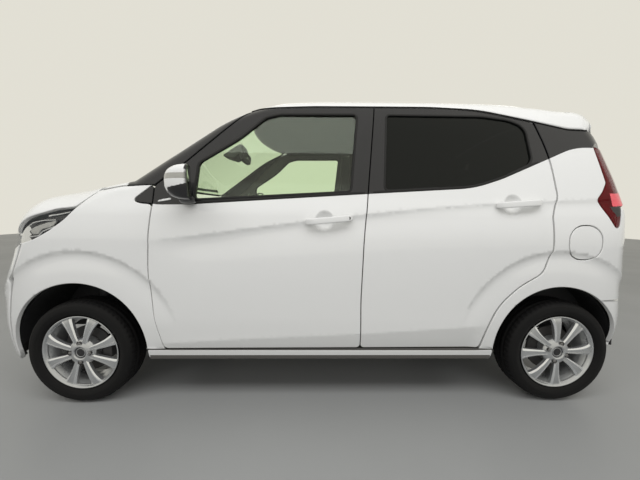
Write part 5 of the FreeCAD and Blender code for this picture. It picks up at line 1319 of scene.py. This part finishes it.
base = bodyPanel([closedLine("left", [(-0.764, 1.048, 0.004), (-0.762, 1.056, 0.004),
                                      (-0.703, 1.069, 0.004), (-0.700, 1.059, 0.004)],
                           0.006)], (0, 1, 0), 0.008, 0.006, gap=0, inset=-0.006)
bothBodies("mirror_left_base", base, [finish["bodyPaint"]], "door_front_left", [])
print("mirrors made")

# Wipers on the windscreen and the rear window
wiperParts = []
for pivotY, tipY, startY in ((-0.42, -0.52, 0.02), (0.10, -0.04, 0.52)):
    bladeFlat = [(y, 1.194 + 0.006 * abs(y)) for y in np.linspace(tipY, startY, 30)]
    blade = onBody("front", bladeFlat, -0.010)
    wiperParts.append(bar(blade, oval(0.004, 0.009, 3.0, 12), fieldNormal(blade)))
    spine = blade + fieldNormal(blade) * 0.010
    wiperParts.append(bar(spine, oval(0.008, 0.0025, 3.0, 12), fieldNormal(blade)))
    hub = onBody("top", [(-1.036 + 0.25 * pivotY ** 2, pivotY)], 0.004)[0]
    reachTo = spine[15]
    arm = np.linspace(0, 1, 16)[:, None] * (reachTo - hub) + hub
    arm = arm + fieldNormal(arm) * (0.010 * np.sin(np.linspace(0, math.pi, 16)) + 0.004)[:, None]
    wiperParts.append(bar(arm, oval(0.010, 0.004, 3.0, 12), fieldNormal(arm),
                          taper=np.linspace(1.2, 0.7, 16)))
    wiperParts.append(lathe([(0.0, 0.012), (0.010, 0.012), (0.016, 0.008), (0.017, -0.012)], hub,
                            fieldNormal(hub[None])[0], 24))
makeObject("front_wipers", joinMeshes(wiperParts), [finish["blackPlastic"]], "root")
blade = onBody("back", [(y, 1.170 + 0.02 * (y + 0.05)) for y in np.linspace(-0.02, 0.34, 24)], -0.006)
hub = onBody("back", [(0.0, 1.118)], -0.002)[0]
arm = np.linspace(0, 1, 16)[:, None] * (blade[14] + np.array([0.008, 0, 0]) - hub) + hub
arm = arm + fieldNormal(arm) * (0.012 * np.sin(np.linspace(0, math.pi, 16)) + 0.008)[:, None]
hubCap = lathe([(0.0, 0.022), (0.014, 0.021), (0.020, 0.014), (0.022, -0.010)], hub,
               fieldNormal(hub[None])[0], 28)
rearWiper = joinMeshes([bar(blade, oval(0.007, 0.007, 3.0, 12), fieldNormal(blade)),
                        bar(arm, oval(0.011, 0.004, 3.0, 12), fieldNormal(arm),
                            taper=np.linspace(1.2, 0.7, 16)), hubCap])
makeObject("rear_wiper", rearWiper, [finish["blackPlastic"]], "tailgate")
print("wipers made")

# Padded seats: each pad starts as a rounded block, swells under pressure and then gets its sewn channels

padSim = {"voxel": 0.013, "pressure": 4.0, "frames": 20, "cap": 0.024}


def takeMesh(data):
    data.calc_loop_triangles()
    points = np.empty(len(data.vertices) * 3)
    data.vertices.foreach_get("co", points)
    triangles = np.empty(len(data.loop_triangles) * 3, int)
    data.loop_triangles.foreach_get("vertices", triangles)
    return points.reshape(-1, 3), triangles.reshape(-1, 3)


def withModifiers(piece):
    graph = bpy.context.evaluated_depsgraph_get()
    return bpy.data.meshes.new_from_object(piece.evaluated_get(graph))


def looseObject(name, data):
    piece = bpy.data.objects.new(name, data)
    bpy.context.scene.collection.objects.link(piece)
    return piece


def swollenPad(start):
    data = bpy.data.meshes.new("padStart")
    data.from_pydata(start["points"].tolist(), [], start["triangles"].tolist())
    block = looseObject("padStart", data)
    remesh = block.modifiers.new("even", "REMESH")
    remesh.mode = "VOXEL"
    remesh.voxel_size = padSim["voxel"]
    pad = looseObject("padCloth", withModifiers(block))
    bpy.data.objects.remove(block)
    before = takeMesh(pad.data)[0]
    after = before
    cloth = pad.modifiers.new("cloth", "CLOTH")
    cloth.settings.quality = 5
    cloth.settings.use_pressure = True
    cloth.settings.uniform_pressure_force = padSim["pressure"]
    cloth.settings.effector_weights.gravity = 0
    cloth.point_cache.frame_start = 1
    cloth.point_cache.frame_end = padSim["frames"]
    for step in range(1, padSim["frames"] + 1):
        bpy.context.scene.frame_set(step)
    after = takeMesh(withModifiers(pad))[0]
    pad.modifiers.remove(cloth)
    bpy.context.scene.frame_set(1)
    moved = after - before
    travel = np.maximum(np.linalg.norm(moved, axis=1, keepdims=True), 1e-9)
    held = before + moved * np.minimum(1, padSim["cap"] / travel)
    pad.data.vertices.foreach_set("co", held.ravel())
    pad.data.update()
    rounder = pad.modifiers.new("rounder", "SUBSURF")
    rounder.levels = 1
    rounder.render_levels = 1
    points, triangles = takeMesh(withModifiers(pad))
    bpy.data.objects.remove(pad)
    return points, triangles


# Sewn channels: the surface sinks along each line across (v) or along (u) the pad, on its outer side only
def sewnPad(centre, half, power, lean, alongLines, acrossLines, bolster, facing):
    block = pillow((0, 0, 0), half, power, rows=40, columns=64)
    wing = smoothStep(0.62, 0.95, np.abs(block["points"][:, 1]) / half[1])
    block["points"][:, facing] += bolster * wing * (block["points"][:, facing] * np.sign(bolster) > 0)
    points, triangles = swollenPad(block)
    normals = pointNormals(points, triangles)
    along = 2 - facing
    gaps = [np.abs(points[:, 1] - v) for v in alongLines]
    gaps += [np.abs(points[:, along] - u) for u in acrossLines]
    nearest = np.min(gaps, axis=0)
    outer = smoothStep(0.15, 0.5, normals[:, facing] * np.sign(bolster))
    points = points - normals * (0.009 * np.exp(-(nearest / 0.007) ** 2) * outer)[:, None]
    tilt = math.radians(lean)
    turned = points.copy()
    turned[:, 0] = points[:, 0] * math.cos(tilt) + points[:, 2] * math.sin(tilt)
    turned[:, 2] = points[:, 2] * math.cos(tilt) - points[:, 0] * math.sin(tilt)
    turned = turned + np.asarray(centre)
    return {"points": turned, "triangles": triangles, "normals": pointNormals(turned, triangles),
            "materials": np.zeros(len(triangles), int)}


# A place given in a seat back's own frame: distance behind its front face and height over its foot
def onBack(foot, lean, behind, up):
    tilt = math.radians(lean)
    return (foot[0] + behind * math.cos(tilt) + up * math.sin(tilt), foot[1],
            foot[2] + up * math.cos(tilt) - behind * math.sin(tilt))


frontSeat = {"front": -0.4005, "y": -0.325, "foot": (0.0395, -0.325, 0.48), "lean": 18}
rearSeat = {"front": 0.6225, "foot": (1.0225, 0.0, 0.52), "lean": 14}
padTable = [
    # name, middle, half sizes, power, lean, lines along, lines across, bolster, side that is sat on, node
    ("seat_left_cushion", (-0.166, -0.325, 0.484), (0.212, 0.196, 0.052), 5.5, -2.5, (-0.112, 0.112), (0.03,),
     0.020, 2, "front_seats"),
    ("seat_left_back", onBack(frontSeat["foot"], 18, 0.062, 0.325), (0.036, 0.194, 0.270), 5.5, 18,
     (-0.115, 0.115), (-0.06, 0.12), -0.026, 0, ""),
    ("seat_left_headrest", onBack(frontSeat["foot"], 18, 0.040, 0.714), (0.030, 0.110, 0.062), 3.5, 18, (),
     (0.0,), -0.004, 0, ""),
    ("bench_cushion", (0.836, 0.0, 0.520), (0.196, 0.500, 0.056), 6.5, -2.5, (-0.34, -0.15, 0.15, 0.34),
     (0.03,), 0.010, 2, "rear_seat"),
    ("bench_back", onBack(rearSeat["foot"], 14, 0.062, 0.295), (0.036, 0.500, 0.248), 6.5, 14,
     (-0.34, -0.15, 0.15, 0.34), (-0.05,), -0.012, 0, ""),
]
for name, middle, half, power, lean, alongLines, acrossLines, bolster, facing, node in padTable:
    pad = sewnPad(middle, half, power, lean, alongLines, acrossLines, bolster, facing)
    piece = makeObject(name, pad, [finish["seatCloth"]], "root", [node] if node else [])
    if "left" in name:
        twin = makeObject(name.replace("left", "right"), mirrorMesh(pad), [finish["seatCloth"]], "root", [])

# What carries the seats: shrouds, rails, head rest stems and the bench's pan
seatParts = [pillow((-0.15, frontSeat["y"], 0.405), (0.205, 0.190, 0.045), 7.0, 0)]
for offset in (-0.16, 0.16):
    railLine = [(-0.345, frontSeat["y"] + offset, 0.345), (0.075, frontSeat["y"] + offset, 0.345)]
    seatParts.append(bar(dense3(railLine, 8), oval(0.019, 0.016, 6.0, 16), (0, 0, 1), material=1))
for offset in (-0.05, 0.05):
    foot = (frontSeat["foot"][0], frontSeat["y"] + offset, frontSeat["foot"][2])
    stem = dense3([onBack(foot, 18, 0.045, 0.57), onBack(foot, 18, 0.045, 0.69)], 8)
    seatParts.append(bar(stem, ringSection(0.006, 12), (1, 0, 0), material=2))
    seatParts.append(lathe([(0.014, 0.0), (0.013, 0.006), (0.007, 0.008)], onBack(foot, 18, 0.045, 0.612),
                           (math.sin(math.radians(18)), 0, math.cos(math.radians(18))), 20))
seatBase = joinMeshes(seatParts)
baseMaterials = [finish["cabinPlastic"], finish["steel"], finish["chrome"]]
makeObject("seat_bases", bothSides(seatBase), baseMaterials, "root")
benchPan = pillow((0.835, 0, 0.435), (0.200, 0.470, 0.045), 8.0)
makeObject("bench_pan", benchPan, [finish["lining"]], "root")
print("seats made")

# Steering wheel: padded rim, three spokes and a plain pad
wheelRim = {"centre": np.array([-0.4905, 0.345, 0.985]), "lean": 24, "radius": 0.182, "grip": 0.0150}
tilt = math.radians(wheelRim["lean"])
steerAxis = np.array([math.cos(tilt), 0, math.sin(tilt)])
steerUp = np.array([-math.sin(tilt), 0, math.cos(tilt)])
turn = np.linspace(0, 2 * math.pi, 20, endpoint=False)
rimProfile = np.stack([wheelRim["radius"] + wheelRim["grip"] * np.cos(turn),
                       wheelRim["grip"] * 0.96 * np.sin(turn)], 1)
steerParts = [lathe(rimProfile, wheelRim["centre"], steerAxis, 72, 0, closed=True)]
for way in (np.array([0, 1.0, 0]), np.array([0, -1.0, 0]), -steerUp):
    start = wheelRim["centre"] + way * 0.045 - steerAxis * 0.010
    spoke = dense3([start, start + way * 0.065 + steerAxis * 0.001, wheelRim["centre"]
                    + way * wheelRim["radius"]], 16)
    steerParts.append(bar(spoke, oval(0.021, 0.007, 3.5, 16), steerAxis, material=1,
                          taper=np.linspace(1.15, 0.85, 16)))
steerParts.append(pillow(wheelRim["centre"] - steerAxis * 0.008, (0.026, 0.072, 0.060), 3.6, 0,
                         lean=-wheelRim["lean"]))
steerParts.append(lathe([(0.0, -0.030), (0.045, -0.030), (0.052, -0.026), (0.054, -0.006)],
                        wheelRim["centre"], steerAxis, 40))
makeObject("steering_wheel_rim", joinMeshes(steerParts), [finish["cabinPlastic"], finish["reflectorGrey"]],
           "steering_wheel", ["steering_wheel"])

# Inside mirror, camera housing under the windscreen's top, instrument hood
insideParts = [pillow((-0.514, 0.0, 1.400), (0.017, 0.112, 0.037), 4.0, 0, lean=-6)]
mirrorRows = np.linspace(0, 1, 6)[:, None, None] * oval(0.104, 0.031, 4.0, 40)[None]
mirrorFace = np.stack([-0.4962 + 0.10 * mirrorRows[..., 1], mirrorRows[..., 0], 1.400 + mirrorRows[..., 1]],
                      -1)
insidePane = gridMesh(mirrorFace, closedV=True, material=1)
if insidePane["normals"][:, 0].sum() < 0:
    insidePane["triangles"] = insidePane["triangles"][:, ::-1]
    insidePane["normals"] = -insidePane["normals"]
insideParts.append(insidePane)
insideParts.append(bar(dense3([(-0.527, 0, 1.405), (-0.552, 0, 1.425), (-0.566, 0, 1.447)], 10),
                       ringSection(0.009, 12), (0, 1, 0)))
makeObject("inside_mirror", joinMeshes(insideParts), [finish["cabinPlastic"], finish["chrome"]], "root")
wedge = dense([(-0.072, 0.000, 0.01), (0.070, 0.088, 0.02), (0.092, 0.020, 0.02), (0.012, -0.034, 0.03),
               (-0.060, -0.012, 0.01)], 0.008)
wedgeLine = dense3([(-0.590, -0.085, 1.413), (-0.590, 0.085, 1.413)], 24)
wedgeTaper = 1 - 0.25 * np.abs(np.linspace(-1, 1, 24)) ** 6
makeObject("camera_housing", bar(wedgeLine, wedge, (0, 0, 1), taper=wedgeTaper), [finish["cabinPlastic"]],
           "root")
binnacle = bar(dense3([(-0.655, 0.215, 1.030), (-0.660, 0.345, 1.046), (-0.655, 0.475, 1.030)], 24),
               [(-0.075, -0.030), (-0.070, 0.000), (-0.030, 0.018), (0.035, 0.020), (0.052, 0.008),
                (0.045, -0.030)],
               (0, 0, 1), taper=1 - 0.18 * np.abs(np.linspace(-1, 1, 24)) ** 4)
makeObject("instrument_hood", binnacle, [finish["cabinPlastic"]], "root")
print("cabin made")

# Belt mouldings under the windows
for name, low, high in (("door_front_left", -0.585, 0.258), ("door_rear_left", 0.300, 1.150)):
    beltX = np.linspace(low, high, 60)
    belt = dense(beltLine, 0.01, closed=False)
    beltFlat = np.stack([beltX, np.interp(beltX, belt[:, 0], belt[:, 1]) + 0.0075], 1)
    line = onBody("left", beltFlat)
    strip = [(-0.0065, -0.003), (-0.006, 0.0018), (-0.002, 0.0032), (0.003, 0.0030), (0.0062, 0.0012),
             (0.0065, -0.003)]
    moulding = bar(line, strip, fieldNormal(line), taper=1 - 0.4 * np.abs(np.linspace(-1, 1, 60)) ** 30)
    bothBodies(name.replace("door", "belt_moulding"), moulding, [finish["rubber"]], name, [])


# A flat pad that lies on the body: outline in a view, how far it stands proud and the direction it settles
# along
def bodyPad(view, outline, proud, direction, spacing=0.012):
    return bodyPanel([closedLine(view, outline, 0.006)], direction, 0.010, spacing, gap=0, inset=-proud,
                     lip=0.0025)


plate = {"half": 0.165, "tall": 0.165, "front": 0.417, "rear": 0.747}
frontPlate = bodyPad("front", [(-plate["half"], plate["front"], 0.008),
                               (plate["half"], plate["front"], 0.008),
                               (plate["half"], plate["front"] + plate["tall"], 0.008),
                               (-plate["half"], plate["front"] + plate["tall"], 0.008)], 0.006, (1, 0, 0))
rearPlate = bodyPad("back", [(-plate["half"], plate["rear"], 0.008), (plate["half"], plate["rear"], 0.008),
                             (plate["half"], plate["rear"] + plate["tall"], 0.008),
                             (-plate["half"], plate["rear"] + plate["tall"], 0.008)], 0.006, (-1, 0, 0))
plateBolts = {"front": [], "back": []}
for view, middleZ, facing in (("front", plate["front"], (-1, 0, 0)), ("back", plate["rear"], (1, 0, 0))):
    for boltY in (-0.105, 0.105):
        place = onBody(view, [(boltY, middleZ + plate["tall"] - 0.022)], -0.006)[0]
        bolt = lathe([(0.0, 0.0045), (0.005, 0.0045), (0.0075, 0.003), (0.008, -0.004)], place, facing, 6, 1)
        plateBolts[view].append(faceted(bolt, 20))
plateMaterials = [finish["reflectorGrey"], finish["steel"]]
makeObject("plate_pad_front", joinMeshes([frontPlate] + plateBolts["front"]), plateMaterials, "root")
makeObject("plate_pad_rear", joinMeshes([rearPlate] + plateBolts["back"]), plateMaterials, "tailgate")

# Tail trim: high stop lamp, grab bar over the plate, corner reflectors
stopLamp = bodyPad("back", [(-0.150, 1.461, 0.004), (0.150, 1.461, 0.004), (0.146, 1.475, 0.004),
                            (-0.146, 1.475, 0.004)], 0.003, (-1, 0, 0), 0.006)
makeObject("stop_lamp", stopLamp, [finish["trimRed"]], "tailgate")
grab = bodyPad("back", [(-0.200, 0.915, 0.010), (0.200, 0.915, 0.010), (0.190, 0.950, 0.012),
                        (-0.190, 0.950, 0.012)], 0.012, (-1, 0, 0))
makeObject("tailgate_grab", grab, [finish["bodyPaint"]], "tailgate")
reflector = bodyPad("back", [(-0.600, 0.405, 0.008), (-0.520, 0.405, 0.008), (-0.520, 0.435, 0.008),
                             (-0.600, 0.435, 0.008)], 0.003, (-1, 0, 0), 0.008)
makeObject("rear_reflectors", bothSides(reflector), [finish["trimRed"]], "root")
print("trim made")

# CAD nodes that stay get a fitting finish
keptFinishes = {
    "arch_liners": "blackPlastic", "cowl": "blackPlastic", "grille": "blackPlastic",
    "door_posts": "structure", "floor_pan": "lining", "firewall": "structure", "strut_towers": "structure",
    "dashboard": "cabinPlastic", "steering_column": "cabinPlastic", "engine_block": "castIron",
    "radiator": "blackPlastic", "front_subframe": "structure", "rear_axle": "structure",
    "fuel_tank": "blackPlastic", "exhaust": "steel", "knuckle_left": "castIron",
    "knuckle_right": "castIron", "strut_left": "structure", "strut_right": "structure",
}
for name, finishName in keptFinishes.items():
    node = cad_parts[name]
    node.data.materials.clear()
    node.data.materials.append(finish[finishName])


# Camera, light and floor

def makeCamera():
    camera = bpy.data.objects.new("photoCamera", bpy.data.cameras.new("photoCamera"))
    camera.data.lens = 272.93 / 640 * 36
    camera.data.clip_end = 100
    yaw, pitch, roll = -0.0141, 0.0933, 0.0068
    right = np.array([math.cos(yaw), math.sin(yaw), 0])
    ahead = np.array([-math.sin(yaw) * math.cos(pitch), math.cos(yaw) * math.cos(pitch), -math.sin(pitch)])
    up = np.cross(right, ahead)
    turnedRight = right * math.cos(roll) + up * math.sin(roll)
    turnedUp = up * math.cos(roll) - right * math.sin(roll)
    matrix = np.eye(4)
    matrix[:3, 0] = turnedRight
    matrix[:3, 1] = turnedUp
    matrix[:3, 2] = -ahead
    matrix[:3, 3] = (0.015, -2.0785, 0.9908)
    camera.matrix_world = Matrix(matrix.tolist())
    bpy.context.scene.collection.objects.link(camera)
    bpy.context.scene.camera = camera


def areaLight(name, place, aim, size, power, mirrored=True):
    light = bpy.data.lights.new(name, "AREA")
    light.shape = "RECTANGLE"
    light.size = size[0]
    light.size_y = size[1]
    light.energy = power
    lamp = bpy.data.objects.new(name, light)
    lamp.location = place
    lamp.visible_glossy = mirrored
    lamp.rotation_euler = (Vector(aim) - Vector(place)).to_track_quat("-Z", "Y").to_euler()
    bpy.context.scene.collection.objects.link(lamp)


makeCamera()
areaLight("ceilingBack", (0, 2.2, 3.1), (0, 0.4, 0.6), (6.5, 0.7), 14)
areaLight("ceilingOver", (0, -2.0, 3.1), (0, -0.4, 0.7), (6.5, 1.2), 76, mirrored=False)
areaLight("roomSide", (0, -5.2, 2.2), (0, 0, 0.8), (7, 3.0), 40, mirrored=False)

floorGrey = (0.36, 0.365, 0.36)
floorWorn = (0.32, 0.325, 0.32)
floorData = bpy.data.meshes.new("floor")
floorData.from_pydata([(-14, -14, 0), (14, -14, 0), (14, 14, 0), (-14, 14, 0)], [], [(0, 1, 2, 3)])
floor = bpy.data.objects.new("floor", floorData)
bpy.context.scene.collection.objects.link(floor)
floorData.materials.append(finishMaterial("floorPaint", floorGrey, floorWorn, (0.35, 0.5), grain=30,
                                          height=0.05, scale=1.2))



# The camera, gloss and glass see a pale wall, and everything else gets the room's soft light
def makeRoom():
    world = bpy.data.worlds.new("room")
    world.use_nodes = True
    tree = world.node_tree
    soft = tree.nodes["Background"]
    soft.inputs["Color"].default_value = (0.86, 0.86, 0.84, 1)
    soft.inputs["Strength"].default_value = 0.43
    wall = tree.nodes.new("ShaderNodeBackground")
    wall.inputs["Color"].default_value = (0.76, 0.74, 0.66, 1)
    rays = tree.nodes.new("ShaderNodeLightPath")
    seen = tree.nodes.new("ShaderNodeMath")
    seen.operation = "MAXIMUM"
    either = tree.nodes.new("ShaderNodeMath")
    either.operation = "MAXIMUM"
    mix = tree.nodes.new("ShaderNodeMixShader")
    tree.links.new(rays.outputs["Is Camera Ray"], seen.inputs[0])
    tree.links.new(rays.outputs["Is Glossy Ray"], seen.inputs[1])
    tree.links.new(seen.outputs[0], either.inputs[0])
    tree.links.new(rays.outputs["Is Transmission Ray"], either.inputs[1])
    tree.links.new(either.outputs[0], mix.inputs["Fac"])
    tree.links.new(soft.outputs[0], mix.inputs[1])
    tree.links.new(wall.outputs[0], mix.inputs[2])
    tree.links.new(mix.outputs[0], tree.nodes["World Output"].inputs["Surface"])
    bpy.context.scene.world = world


makeRoom()
bpy.context.scene.view_settings.view_transform = "Standard"
